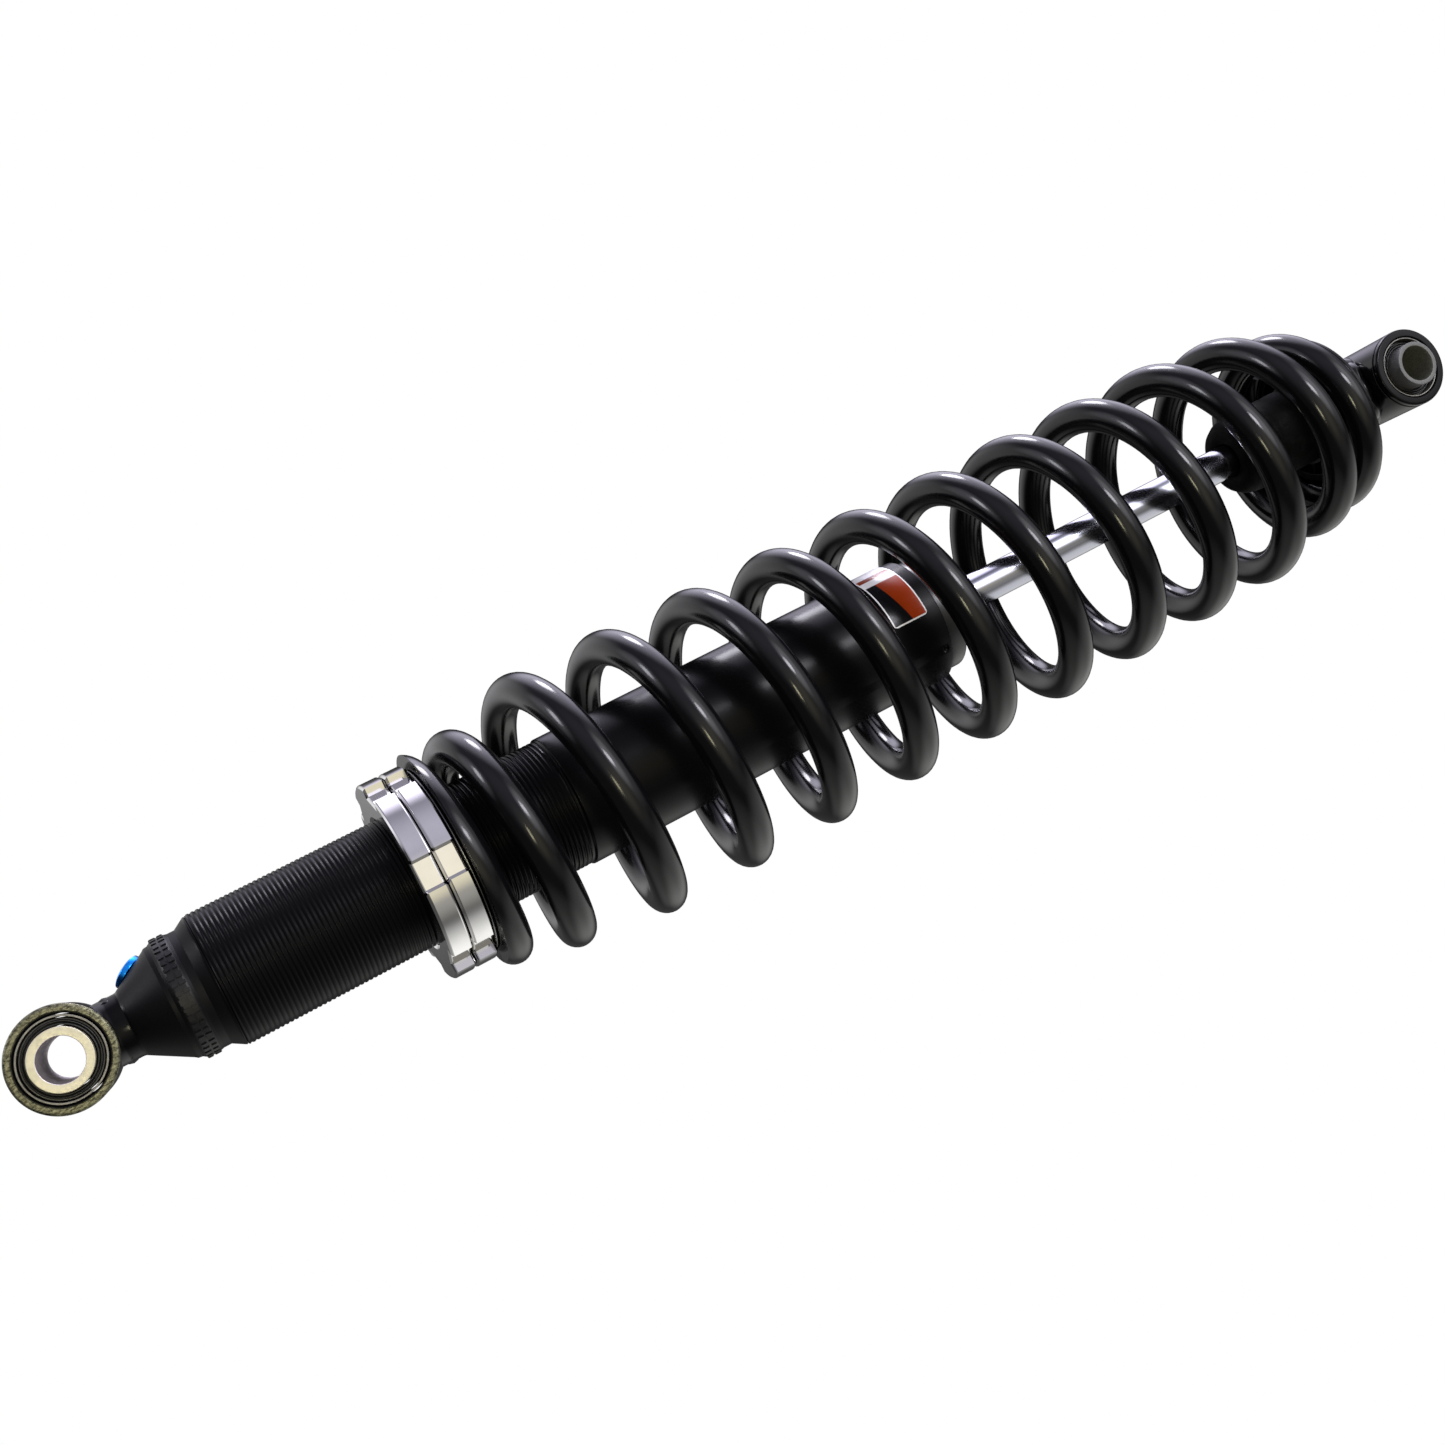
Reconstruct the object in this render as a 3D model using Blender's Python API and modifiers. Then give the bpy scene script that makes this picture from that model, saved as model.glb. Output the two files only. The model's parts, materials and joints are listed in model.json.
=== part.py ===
"""Coil-over rear shock for a small off-road vehicle, as an assembly of separate pieces.

The shock stands on its body eye. +Z runs along the shock's axis from the body eye to the shaft eye, both
eye axes lie along Y, and the origin is the lowest point of the body eye, below its centre. All lengths are in
metres. Heights named in the piece functions are above the body eye's centre.
"""

import math

import bmesh
import bpy
from mathutils import Matrix, Vector

# Driving dimensions
EYE_TO_EYE = 0.508
GAP = 0.0003
BODY_EYE_R = 0.0153
BODY_EYE_WIDTH = 0.036
BODY_SLEEVE_R = 0.009
BODY_SLEEVE_LENGTH = 0.044
SHAFT_EYE_R = 0.0143
SHAFT_EYE_WIDTH = 0.040
SHAFT_SLEEVE_R = 0.008
SHAFT_SLEEVE_LENGTH = 0.048
BOLT_BORE_R = 0.0065

THREAD_R = 0.021
TUBE_R = 0.0215
CYLINDER_R = 0.018
THREAD_START = 0.0454
THREAD_END = 0.1595
TUBE_TOP = 0.2955
HEAD_R = 0.0195
HEAD_TOP = 0.3027
SHAFT_R = 0.006
STUD_R = 0.005

RING_R = 0.0325
RING_BORE_R = 0.0214
RING_HEIGHT = 0.007
LOCK_RING_BASE = 0.106
PRELOAD_RING_BASE = 0.1134
RING_NOTCHES = 6
NOTCH_WIDTH = 0.0085
NOTCH_DEPTH = 0.003

WIRE_R = 0.00575
COIL_R = 0.03925
LOWER_SEAT = 0.1216
UPPER_SEAT = 0.4767
LOWER_COIL_R = 0.0310
UPPER_COIL_R = 0.0295
COIL_PITCH = 0.0316
END_PITCH = 0.013
FIRST_STRAND = 0.12355
FIRST_TURN = -0.38
LAST_TURN = 12.5
COIL_STEPS = 18

PISTON_R = 0.0172
BUMP_STOP_BASE = 0.4345
BUMP_STOP_TOP = 0.4690
RETAINER_RIM_R = 0.0275
RETAINER_PILOT_R = 0.0232
RETAINER_RIBS = 8

ROUND_STEPS = 24
SMALL_STEPS = 16
MERGE = 0.00001

BODY_EYE_Z = BODY_EYE_R
SHAFT_EYE_Z = BODY_EYE_Z + EYE_TO_EYE

MATERIALS = {
    "satin_black": ((0.016, 0.016, 0.018), 0.35, 0.42),
    "gloss_black": ((0.012, 0.012, 0.014), 0.20, 0.22),
    "chrome": ((0.78, 0.78, 0.80), 1.00, 0.08),
    "ground_steel": ((0.62, 0.62, 0.64), 1.00, 0.12),
    "bare_steel": ((0.50, 0.49, 0.47), 1.00, 0.38),
    "zinc_yellow": ((0.80, 0.72, 0.50), 1.00, 0.30),
    "alloy": ((0.72, 0.73, 0.75), 1.00, 0.35),
    "bronze": ((0.55, 0.36, 0.17), 1.00, 0.40),
    "rubber": ((0.012, 0.012, 0.012), 0.00, 0.62),
    "seal_rubber": ((0.020, 0.020, 0.022), 0.00, 0.50),
    "bumper_foam": ((0.018, 0.018, 0.019), 0.00, 0.55),
    "band_plastic": ((0.12, 0.10, 0.08), 0.00, 0.45),
    "blue_anodised": ((0.010, 0.180, 0.580), 0.90, 0.25),
    "label_orange": ((0.75, 0.16, 0.02), 0.00, 0.30),
}


def clear_scene():
    for obj in list(bpy.data.objects):
        bpy.data.objects.remove(obj, do_unlink=True)


def new_collection(name):
    collection = bpy.data.collections.new(name)
    bpy.context.scene.collection.children.link(collection)
    return collection


def material(name):
    found = bpy.data.materials.get(name)
    if found:
        return found
    colour, metallic, roughness = MATERIALS[name]
    made = bpy.data.materials.new(name)
    made.use_nodes = True
    shader = made.node_tree.nodes["Principled BSDF"]
    shader.inputs["Base Color"].default_value = (*colour, 1.0)
    shader.inputs["Metallic"].default_value = metallic
    shader.inputs["Roughness"].default_value = roughness
    return made


def add_object(name, data, collection, look=None, at=(0.0, 0.0, BODY_EYE_Z)):
    obj = bpy.data.objects.new(name, data)
    collection.objects.link(obj)
    obj.location = at
    if look:
        obj.data.materials.append(material(look))
    return obj


def add_part(name, mesh, look, at=(0.0, 0.0, BODY_EYE_Z)):
    return add_object(name, mesh, PARTS, look, at)


def add_cutter(name, mesh, at=(0.0, 0.0, BODY_EYE_Z)):
    cutter = add_object(name, mesh, CUTTERS, at=at)
    cutter.hide_render = True
    cutter.display_type = "WIRE"
    return cutter


def smooth(mesh, angle=math.radians(35)):
    mesh.shade_smooth()
    mesh.set_sharp_from_angle(angle=angle)


def mesh_from(name, build):
    mesh = bpy.data.meshes.new(name)
    bm = bmesh.new()
    build(bm)
    bm.to_mesh(mesh)
    bm.free()
    return mesh


def spin_modifier(obj, steps):
    screw = obj.modifiers.new("turned", "SCREW")
    screw.axis = "Z"
    screw.angle = 2 * math.pi
    screw.steps = steps
    screw.render_steps = steps
    screw.use_merge_vertices = True
    screw.merge_threshold = MERGE
    screw.use_smooth_shade = True
    return screw


def profile_mesh(name, outline, closed):
    """An outline of (radius, height) that runs down the outside, and for a ring back up the bore."""

    def build(bm):
        points = [bm.verts.new((radius, 0.0, height)) for radius, height in outline]
        for first, second in zip(points, points[1:]):
            bm.edges.new((first, second))
        if closed:
            bm.edges.new((points[-1], points[0]))

    return mesh_from(name, build)


def turned_ring(name, outline, look, steps=ROUND_STEPS, at=(0.0, 0.0, BODY_EYE_Z)):
    obj = add_part(name, profile_mesh(name, outline, closed=True), look, at)
    spin_modifier(obj, steps)
    return obj


def turned_solid(name, outline, look, steps=ROUND_STEPS, at=(0.0, 0.0, BODY_EYE_Z)):
    obj = add_part(name, profile_mesh(name, outline, closed=False), look, at)
    spin_modifier(obj, steps)
    return obj


def tube_outline(outer_r, bore_r, low, high):
    """A plain tube with sharp edges."""
    return [(outer_r, high), (outer_r, low), (bore_r, low), (bore_r, high)]


def sleeve_outline(outer_r, bore_r, low, high, chamfer):
    """A plain tube with its four edges broken."""
    return [
        (outer_r - chamfer, high),
        (outer_r, high - chamfer),
        (outer_r, low + chamfer),
        (outer_r - chamfer, low),
        (bore_r + chamfer, low),
        (bore_r, low + chamfer),
        (bore_r, high - chamfer),
        (bore_r + chamfer, high),
    ]


def cylinder_mesh(name, radius, length, steps=ROUND_STEPS, matrix=Matrix.Identity(4)):
    def build(bm):
        bmesh.ops.create_cone(
            bm, cap_ends=True, segments=steps, radius1=radius, radius2=radius, depth=length, matrix=matrix
        )

    return mesh_from(name, build)


def boxes_mesh(name, matrices):
    """Cubes of side 1, each under its own matrix, in one mesh."""

    def build(bm):
        for matrix in matrices:
            bmesh.ops.create_cube(bm, size=1.0, matrix=matrix)

    return mesh_from(name, build)


def boolean(obj, other, operation):
    modifier = obj.modifiers.new(other.name, "BOOLEAN")
    modifier.operation = operation
    modifier.object = other
    modifier.solver = "EXACT"
    return modifier


def o_ring(name, height, centre_r=0.0167, section_r=0.001, sides=6):
    points = []
    for side in range(sides):
        angle = -2 * math.pi * side / sides
        points.append((centre_r + section_r * math.cos(angle), height + section_r * math.sin(angle)))
    return turned_ring(name, points, "seal_rubber", ROUND_STEPS)


ALONG_Y = Matrix.Rotation(math.radians(90), 4, "X")


# ---- body eye end

CAP_CONE_LOW = (0.0112, 0.0199)
CAP_CONE_HIGH = (0.0170, 0.0306)
SPIGOT_R = 0.0176
SPIGOT_TOP = 0.058
GROOVE_R = 0.0154
GROOVE_HALF = 0.0013
CAP_GROOVE_Z = 0.0527
VALVE_HEIGHT = 0.0251
VALVE_TURN = math.radians(165)
PLUG_HEAD_R = 0.00525
PLUG_SHANK_R = 0.0035
VALVE_CORE_R = 0.0022


def valve_frame():
    """Place of the gas valve: its origin is on the cone's surface and its Z points out of the surface."""
    slope = math.atan2(CAP_CONE_HIGH[0] - CAP_CONE_LOW[0], CAP_CONE_HIGH[1] - CAP_CONE_LOW[1])
    share = (VALVE_HEIGHT - CAP_CONE_LOW[1]) / (CAP_CONE_HIGH[1] - CAP_CONE_LOW[1])
    radius = CAP_CONE_LOW[0] + share * (CAP_CONE_HIGH[0] - CAP_CONE_LOW[0])
    out = Matrix.Rotation(math.radians(90) + slope, 4, "Y")
    place = Matrix.Translation((radius, 0.0, VALVE_HEIGHT)) @ out
    return Matrix.Rotation(VALVE_TURN, 4, "Z") @ place


BODY_EYE_BORE_R = 0.0126
SHAFT_EYE_BORE_R = 0.0114
THROUGH = 0.06


def eye_barrel(name, radius, width):
    return cylinder_mesh(name, radius, width, ROUND_STEPS, ALONG_Y)


def make_end_cap():
    """Threaded closing cap of the damper body, with its neck and the body eye: one welded piece."""
    outline = [
        (0.0, SPIGOT_TOP),
        (SPIGOT_R - 0.0007, SPIGOT_TOP),
        (SPIGOT_R, SPIGOT_TOP - 0.0007),
        (SPIGOT_R, CAP_GROOVE_Z + GROOVE_HALF),
        (GROOVE_R, CAP_GROOVE_Z + GROOVE_HALF),
        (GROOVE_R, CAP_GROOVE_Z - GROOVE_HALF),
        (SPIGOT_R, CAP_GROOVE_Z - GROOVE_HALF),
        (SPIGOT_R, THREAD_START - GAP),
        (THREAD_R - 0.0006, THREAD_START - GAP),
        (THREAD_R, THREAD_START - GAP - 0.0006),
        (0.0183, 0.0412),
        (0.0183, 0.0387),
        (0.0186, 0.0372),
        (0.0186, 0.0345),
        (0.0176, 0.0333),
        (0.0173, 0.0319),
        CAP_CONE_HIGH,
        CAP_CONE_LOW,
        (0.0111, 0.0070),
        (0.0, 0.0070),
    ]
    cap = turned_solid("body_end_cap", outline, "satin_black")
    barrel = add_cutter("body_eye_barrel", eye_barrel("body_eye_barrel", BODY_EYE_R, BODY_EYE_WIDTH))
    boolean(cap, barrel, "UNION")
    bore_mesh = cylinder_mesh("body_eye_bore", BODY_EYE_BORE_R, THROUGH, ROUND_STEPS, ALONG_Y)
    bore = add_cutter("body_eye_bore", bore_mesh)
    boolean(cap, bore, "DIFFERENCE")
    frame = valve_frame()
    spot = frame @ Matrix.Translation((0, 0, 0.0092))
    shank = frame @ Matrix.Translation((0, 0, 0.0013))
    core = frame @ Matrix.Translation((0, 0, -0.0100))
    gallery = Matrix.Translation((0, 0, 0.0455))
    drills = [
        ("valve_spot_face", 0.0056, 0.020, spot),
        ("valve_thread_hole", PLUG_SHANK_R + GAP, 0.0166, shank),
        ("valve_core_hole", VALVE_CORE_R + GAP, 0.0125, core),
        ("gas_gallery", VALVE_CORE_R + GAP, 0.029, gallery),
    ]
    for name, radius, length, matrix in drills:
        drill = add_cutter(name, cylinder_mesh(name, radius, length, SMALL_STEPS, matrix))
        boolean(cap, drill, "DIFFERENCE")
    return cap


def make_gas_valve():
    """Blue cap screwed into the charging port, and the valve core under it."""
    frame = valve_frame()
    head_low = -0.0008 + GAP
    plug_outline = [
        (0.0, 0.0011),
        (0.0020, 0.0014),
        (0.0022, 0.0024),
        (0.0040, 0.0026),
        (PLUG_HEAD_R - 0.0003, 0.0024),
        (PLUG_HEAD_R, 0.0020),
        (PLUG_HEAD_R, head_low),
        (PLUG_SHANK_R, head_low),
        (PLUG_SHANK_R, -0.0062),
        (PLUG_SHANK_R - 0.0006, -0.0067),
        (0.0, -0.0067),
    ]
    core_outline = [
        (0.0, -0.0078),
        (0.0012, -0.0078),
        (0.0012, -0.0092),
        (VALVE_CORE_R, -0.0094),
        (VALVE_CORE_R, -0.0128),
        (0.0012, -0.0134),
        (0.0012, -0.0142),
        (0.0, -0.0142),
    ]
    for name, outline, look in (
        ("gas_valve_plug", plug_outline, "blue_anodised"),
        ("gas_valve_core", core_outline, "bronze"),
    ):
        piece = turned_solid(name, outline, look, SMALL_STEPS)
        piece.matrix_world = Matrix.Translation((0, 0, BODY_EYE_Z)) @ frame


SLEEVE_CHAMFER = 0.0003


def eye_bush(prefix, centre_z, radii, widths, sleeve_look):
    """Steel shell, bonded rubber and inner sleeve on the eye's axis. Radii run from the shell inwards."""
    shell_out, shell_in, rubber_out, rubber_in, sleeve_out = radii
    shell_width, rubber_width, sleeve_width = widths
    shell = tube_outline(shell_out, shell_in, -shell_width / 2, shell_width / 2)
    rubber = tube_outline(rubber_out, rubber_in, -rubber_width / 2, rubber_width / 2)
    sleeve = sleeve_outline(sleeve_out, BOLT_BORE_R, -sleeve_width / 2, sleeve_width / 2, SLEEVE_CHAMFER)
    rows = (
        (prefix + "_bush_shell", shell, "bare_steel"),
        (prefix + "_bush_rubber", rubber, "rubber"),
        (prefix + "_sleeve", sleeve, sleeve_look),
    )
    for name, outline, look in rows:
        piece = turned_ring(name, outline, look, ROUND_STEPS, (0, 0, centre_z))
        piece.rotation_euler = (math.radians(90), 0, 0)


def make_body_tube():
    outline = [
        (TUBE_R - 0.0005, TUBE_TOP),
        (TUBE_R, TUBE_TOP - 0.0005),
        (TUBE_R, THREAD_END + 0.0005),
        (THREAD_R, THREAD_END),
        (THREAD_R, THREAD_START + 0.0006),
        (THREAD_R - 0.0006, THREAD_START),
        (CYLINDER_R + 0.0004, THREAD_START),
        (CYLINDER_R, THREAD_START + 0.0006),
        (CYLINDER_R, TUBE_TOP - 0.0004),
        (CYLINDER_R + 0.0004, TUBE_TOP),
    ]
    return turned_ring("body_tube", outline, "satin_black")


LABEL_LOW = 0.278
LABEL_HIGH = 0.291
LABEL_START = math.radians(269)
LABEL_SPAN = math.radians(118)
LABEL_THICKNESS = 0.0003
LABEL_STEPS = 20


def make_label():
    """Printed foil wrapped part way round the top of the tube."""

    def build(bm):
        rows = []
        for step in range(LABEL_STEPS + 1):
            angle = LABEL_START - LABEL_SPAN * step / LABEL_STEPS
            x = (TUBE_R + GAP) * math.cos(angle)
            y = (TUBE_R + GAP) * math.sin(angle)
            rows.append([bm.verts.new((x, y, height)) for height in (LABEL_LOW, LABEL_HIGH)])
        for (low_a, high_a), (low_b, high_b) in zip(rows, rows[1:]):
            bm.faces.new((low_a, high_a, high_b, low_b))

    label = add_part("body_label", mesh_from("body_label", build), "label_orange")
    solidify = label.modifiers.new("foil", "SOLIDIFY")
    solidify.thickness = LABEL_THICKNESS
    solidify.offset = 1.0
    smooth(label.data)
    return label


# ---- seal head

HEAD_BASE = 0.271
HEAD_GROOVE_Z = 0.279
BUSH_TOP = 0.2843
SEAL_POCKET = (0.2855, 0.2915)
WIPER_POCKET = 0.2975
POCKET_R = 0.0097
LAND_R = 0.0066
SEAL_BORE_R = 0.00635


def make_seal_head():
    """Guide and seal carrier screwed into the top of the tube; its collar stands proud of the tube."""
    outline = [
        (HEAD_R - 0.0008, HEAD_TOP),
        (HEAD_R, HEAD_TOP - 0.0008),
        (HEAD_R, TUBE_TOP + GAP),
        (SPIGOT_R, TUBE_TOP + GAP),
        (SPIGOT_R, HEAD_GROOVE_Z + GROOVE_HALF),
        (GROOVE_R, HEAD_GROOVE_Z + GROOVE_HALF),
        (GROOVE_R, HEAD_GROOVE_Z - GROOVE_HALF),
        (SPIGOT_R, HEAD_GROOVE_Z - GROOVE_HALF),
        (SPIGOT_R, HEAD_BASE),
        (0.0079, HEAD_BASE),
        (0.0079, BUSH_TOP),
        (LAND_R, BUSH_TOP),
        (LAND_R, SEAL_POCKET[0]),
        (POCKET_R, SEAL_POCKET[0]),
        (POCKET_R, SEAL_POCKET[1]),
        (LAND_R, SEAL_POCKET[1]),
        (LAND_R, WIPER_POCKET),
        (POCKET_R, WIPER_POCKET),
        (POCKET_R, HEAD_TOP),
    ]
    return turned_ring("seal_head", outline, "satin_black")


def make_head_seals():
    o_ring("seal_head_o_ring", HEAD_GROOVE_Z)
    bush = tube_outline(0.0076, SEAL_BORE_R, HEAD_BASE + 0.0005, BUSH_TOP - GAP)
    turned_ring("shaft_guide_bush", bush, "bronze", SMALL_STEPS)
    low = SEAL_POCKET[0] + GAP
    high = SEAL_POCKET[1] - GAP
    seal = [
        (0.0094, high),
        (0.0094, low),
        (0.0085, low),
        (0.0079, low + 0.0022),
        (0.0072, low),
        (SEAL_BORE_R, low),
        (0.0068, low + 0.0030),
        (SEAL_BORE_R + 0.0001, high),
    ]
    turned_ring("shaft_seal", seal, "seal_rubber", SMALL_STEPS)
    wiper = [
        (0.0075, HEAD_TOP + 0.0005),
        (0.0080, HEAD_TOP - GAP),
        (0.0094, HEAD_TOP - GAP),
        (0.0094, WIPER_POCKET + GAP),
        (SEAL_BORE_R + 0.0003, WIPER_POCKET + GAP),
        (SEAL_BORE_R + 0.0006, HEAD_TOP - 0.0020),
        (SEAL_BORE_R, HEAD_TOP + 0.0005),
    ]
    turned_ring("shaft_wiper", wiper, "seal_rubber", SMALL_STEPS)


# ---- floating piston between oil and gas

FLOAT_LOW = 0.092
FLOAT_HIGH = 0.110


def make_floating_piston():
    band_low = FLOAT_LOW + 0.0020
    band_high = FLOAT_LOW + 0.0066
    groove = FLOAT_LOW + 0.0125
    outline = [
        (0.0, FLOAT_HIGH - 0.008),
        (0.0130, FLOAT_HIGH - 0.008),
        (0.0138, FLOAT_HIGH),
        (SPIGOT_R - 0.0006, FLOAT_HIGH),
        (SPIGOT_R, FLOAT_HIGH - 0.0006),
        (SPIGOT_R, groove + GROOVE_HALF),
        (GROOVE_R, groove + GROOVE_HALF),
        (GROOVE_R, groove - GROOVE_HALF),
        (SPIGOT_R, groove - GROOVE_HALF),
        (SPIGOT_R, band_high),
        (0.0162, band_high),
        (0.0162, band_low),
        (SPIGOT_R, band_low),
        (SPIGOT_R, FLOAT_LOW),
        (0.0, FLOAT_LOW),
    ]
    turned_solid("floating_piston", outline, "alloy")
    o_ring("floating_piston_o_ring", groove)
    band = tube_outline(0.0177, 0.0165, band_low + GAP, band_high - GAP)
    turned_ring("floating_piston_band", band, "band_plastic")


# ---- spring preload adjuster

WASHER_R = 0.0305


def make_preload_ring(name, base):
    """Chrome spanner ring with square notches round its rim."""
    top = base + RING_HEIGHT
    outline = [
        (RING_R - 0.0009, top),
        (RING_R, top - 0.0009),
        (RING_R, base + 0.0009),
        (RING_R - 0.0009, base),
        (RING_BORE_R + 0.0012, base),
        (RING_BORE_R, base + 0.0012),
        (RING_BORE_R, top - 0.0008),
        (RING_BORE_R + 0.0008, top),
    ]
    ring = turned_ring(name, outline, "chrome")
    matrices = []
    for notch in range(RING_NOTCHES):
        turn = Matrix.Rotation(math.radians(-90) + 2 * math.pi * notch / RING_NOTCHES, 4, "Z")
        shift = Matrix.Translation((RING_R - NOTCH_DEPTH + 0.005, 0, base + RING_HEIGHT / 2))
        size = Matrix.Diagonal((0.010, NOTCH_WIDTH, RING_HEIGHT * 2, 1.0))
        matrices.append(turn @ shift @ size)
    boolean(ring, add_cutter(name + "_notches", boxes_mesh(name + "_notches", matrices)), "DIFFERENCE")
    return ring


def make_spring_seat_washer():
    low = PRELOAD_RING_BASE + RING_HEIGHT + GAP
    outline = tube_outline(WASHER_R, RING_BORE_R + 0.0002, low, LOWER_SEAT - GAP)
    return turned_ring("spring_seat_washer", outline, "bare_steel")


# ---- coil spring


def ease(value):
    clamped = min(max(value, 0.0), 1.0)
    return clamped * clamped * (3 - 2 * clamped)


def coil_pitch(turn):
    """Rise per turn: short in the closed end coils and full in the active ones."""
    opening = ease((turn + 0.1) / 2.0)
    closing = ease((LAST_TURN - 0.3 - turn) / 2.0)
    return END_PITCH + (COIL_PITCH - END_PITCH) * opening * closing


def coil_radius(turn):
    lower = ease((turn - 0.5) / 1.4)
    upper = ease((12.0 - turn) / 1.8)
    radius = LOWER_COIL_R + (COIL_R - LOWER_COIL_R) * lower
    return radius - (COIL_R - UPPER_COIL_R) * (1 - upper)


def coil_points():
    """Wire centre line. Turn 0 crosses the -Y side at FIRST_STRAND and the wire climbs to the right."""
    count = round((LAST_TURN - FIRST_TURN) * COIL_STEPS)
    step = (LAST_TURN - FIRST_TURN) / count
    height = FIRST_STRAND + END_PITCH * FIRST_TURN
    points = []
    for index in range(count + 1):
        turn = FIRST_TURN + index * step
        angle = 2 * math.pi * turn - math.pi / 2
        radius = coil_radius(turn)
        points.append((radius * math.cos(angle), radius * math.sin(angle), height))
        height += coil_pitch(turn + step / 2) * step
    return points


def fitted(points):
    """The points with their heights stretched a little, so that the last one leaves half the wire at the seat."""
    low = points[0][2]
    end = UPPER_SEAT - 0.1 * WIRE_R
    share = (end - low) / (points[-1][2] - low)
    return [(x, y, low + (z - low) * share) for x, y, z in points]


def make_coil_spring():
    """Closed and ground compression spring, wound right-handed."""
    curve = bpy.data.curves.new("coil_spring", "CURVE")
    curve.dimensions = "3D"
    curve.twist_mode = "Z_UP"
    curve.bevel_depth = WIRE_R
    curve.bevel_resolution = 2
    curve.use_fill_caps = True
    points = fitted(coil_points())
    spline = curve.splines.new("POLY")
    spline.points.add(len(points) - 1)
    for target, point in zip(spline.points, points):
        target.co = (*point, 1.0)
    guide = add_object("coil_guide", curve, PARTS)
    bpy.context.view_layer.update()
    graph = bpy.context.evaluated_depsgraph_get()
    mesh = bpy.data.meshes.new_from_object(guide.evaluated_get(graph))
    bpy.data.objects.remove(guide, do_unlink=True)
    bm = bmesh.new()
    bm.from_mesh(mesh)
    bmesh.ops.remove_doubles(bm, verts=bm.verts, dist=MERGE)
    bmesh.ops.recalc_face_normals(bm, faces=bm.faces)
    bm.to_mesh(mesh)
    bm.free()
    smooth(mesh)
    spring = add_part("coil_spring", mesh, "gloss_black")
    grind_depth = 0.02
    for name, middle in (
        ("lower_grinding", LOWER_SEAT - grind_depth / 2),
        ("upper_grinding", UPPER_SEAT + grind_depth / 2),
    ):
        size = Matrix.Translation((0, 0, middle)) @ Matrix.Diagonal((0.12, 0.12, grind_depth, 1.0))
        boolean(spring, add_cutter(name, boxes_mesh(name, [size])), "DIFFERENCE")
    return spring


# ---- shaft and piston stack


def make_shaft():
    outline = [
        (0.0, 0.4932),
        (STUD_R - 0.0006, 0.4932),
        (STUD_R, 0.4926),
        (STUD_R, 0.4782),
        (SHAFT_R, 0.4778),
        (SHAFT_R, 0.2612),
        (STUD_R, 0.2610),
        (STUD_R, 0.2301),
        (STUD_R - 0.0006, 0.2295),
        (0.0, 0.2295),
    ]
    return turned_solid("piston_shaft", outline, "ground_steel", SMALL_STEPS)


PISTON_LOW = 0.2430
PISTON_HIGH = 0.2577
STACK_BORE_R = 0.0053
PORTS = 6


def make_piston():
    band_low = PISTON_LOW + 0.0030
    band_high = PISTON_HIGH - 0.0030
    outline = [
        (0.0164, PISTON_HIGH),
        (PISTON_R, PISTON_HIGH - 0.0008),
        (PISTON_R, band_high),
        (0.0162, band_high),
        (0.0162, band_low),
        (PISTON_R, band_low),
        (PISTON_R, PISTON_LOW + 0.0008),
        (0.0164, PISTON_LOW),
        (STACK_BORE_R, PISTON_LOW),
        (STACK_BORE_R, PISTON_HIGH),
    ]
    piston = turned_ring("piston", outline, "alloy")

    def build(bm):
        for port in range(PORTS):
            turn = Matrix.Rotation(2 * math.pi * port / PORTS, 4, "Z")
            shift = Matrix.Translation((0.0112, 0, (PISTON_LOW + PISTON_HIGH) / 2))
            bmesh.ops.create_cone(
                bm, cap_ends=True, segments=12, radius1=0.0022, radius2=0.0022, depth=0.03, matrix=turn @ shift
            )

    boolean(piston, add_cutter("piston_ports", mesh_from("piston_ports", build)), "DIFFERENCE")
    band = tube_outline(0.0177, 0.0165, band_low + GAP, band_high - GAP)
    turned_ring("piston_band", band, "band_plastic")


def shim_stack(name, face, away):
    """Thin discs on one face of the piston, each smaller than the last."""
    steps = 4
    thickness = 0.0007
    outer = []
    for step in range(steps):
        radius = 0.0150 - 0.0017 * step
        outer += [(radius, face + away * thickness * step), (radius, face + away * thickness * (step + 1))]
    outline = outer if away < 0 else outer[::-1]
    ends = (outline[-1][1], outline[0][1])
    outline = outline + [(STACK_BORE_R, ends[0]), (STACK_BORE_R, ends[1])]
    return turned_ring(name, outline, "bare_steel", SMALL_STEPS)


def make_piston_stack():
    shim_stack("rebound_shims", PISTON_LOW - GAP, -1)
    shim_stack("compression_shims", PISTON_HIGH + GAP, 1)
    nut_radius = 0.0085

    def build_nut(bm):
        low, high = 0.2310, 0.2395
        middle = Matrix.Translation((0, 0, (low + high) / 2))
        bmesh.ops.create_cone(
            bm, cap_ends=True, segments=6, radius1=nut_radius, radius2=nut_radius, depth=high - low, matrix=middle
        )

    nut = add_part("piston_nut", mesh_from("piston_nut", build_nut), "bare_steel")
    hole = Matrix.Translation((0, 0, 0.235))
    drill = cylinder_mesh("piston_nut_thread", STACK_BORE_R, 0.03, SMALL_STEPS, hole)
    boolean(nut, add_cutter("piston_nut_thread", drill), "DIFFERENCE")
    plate = tube_outline(0.0125, SHAFT_R + GAP, 0.2616, 0.2638)
    turned_ring("top_out_plate", plate, "bare_steel", SMALL_STEPS)
    bumper = sleeve_outline(0.0120, SHAFT_R + GAP, 0.2641, HEAD_BASE - GAP, 0.0010)
    turned_ring("top_out_bumper", bumper, "rubber", SMALL_STEPS)


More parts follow.
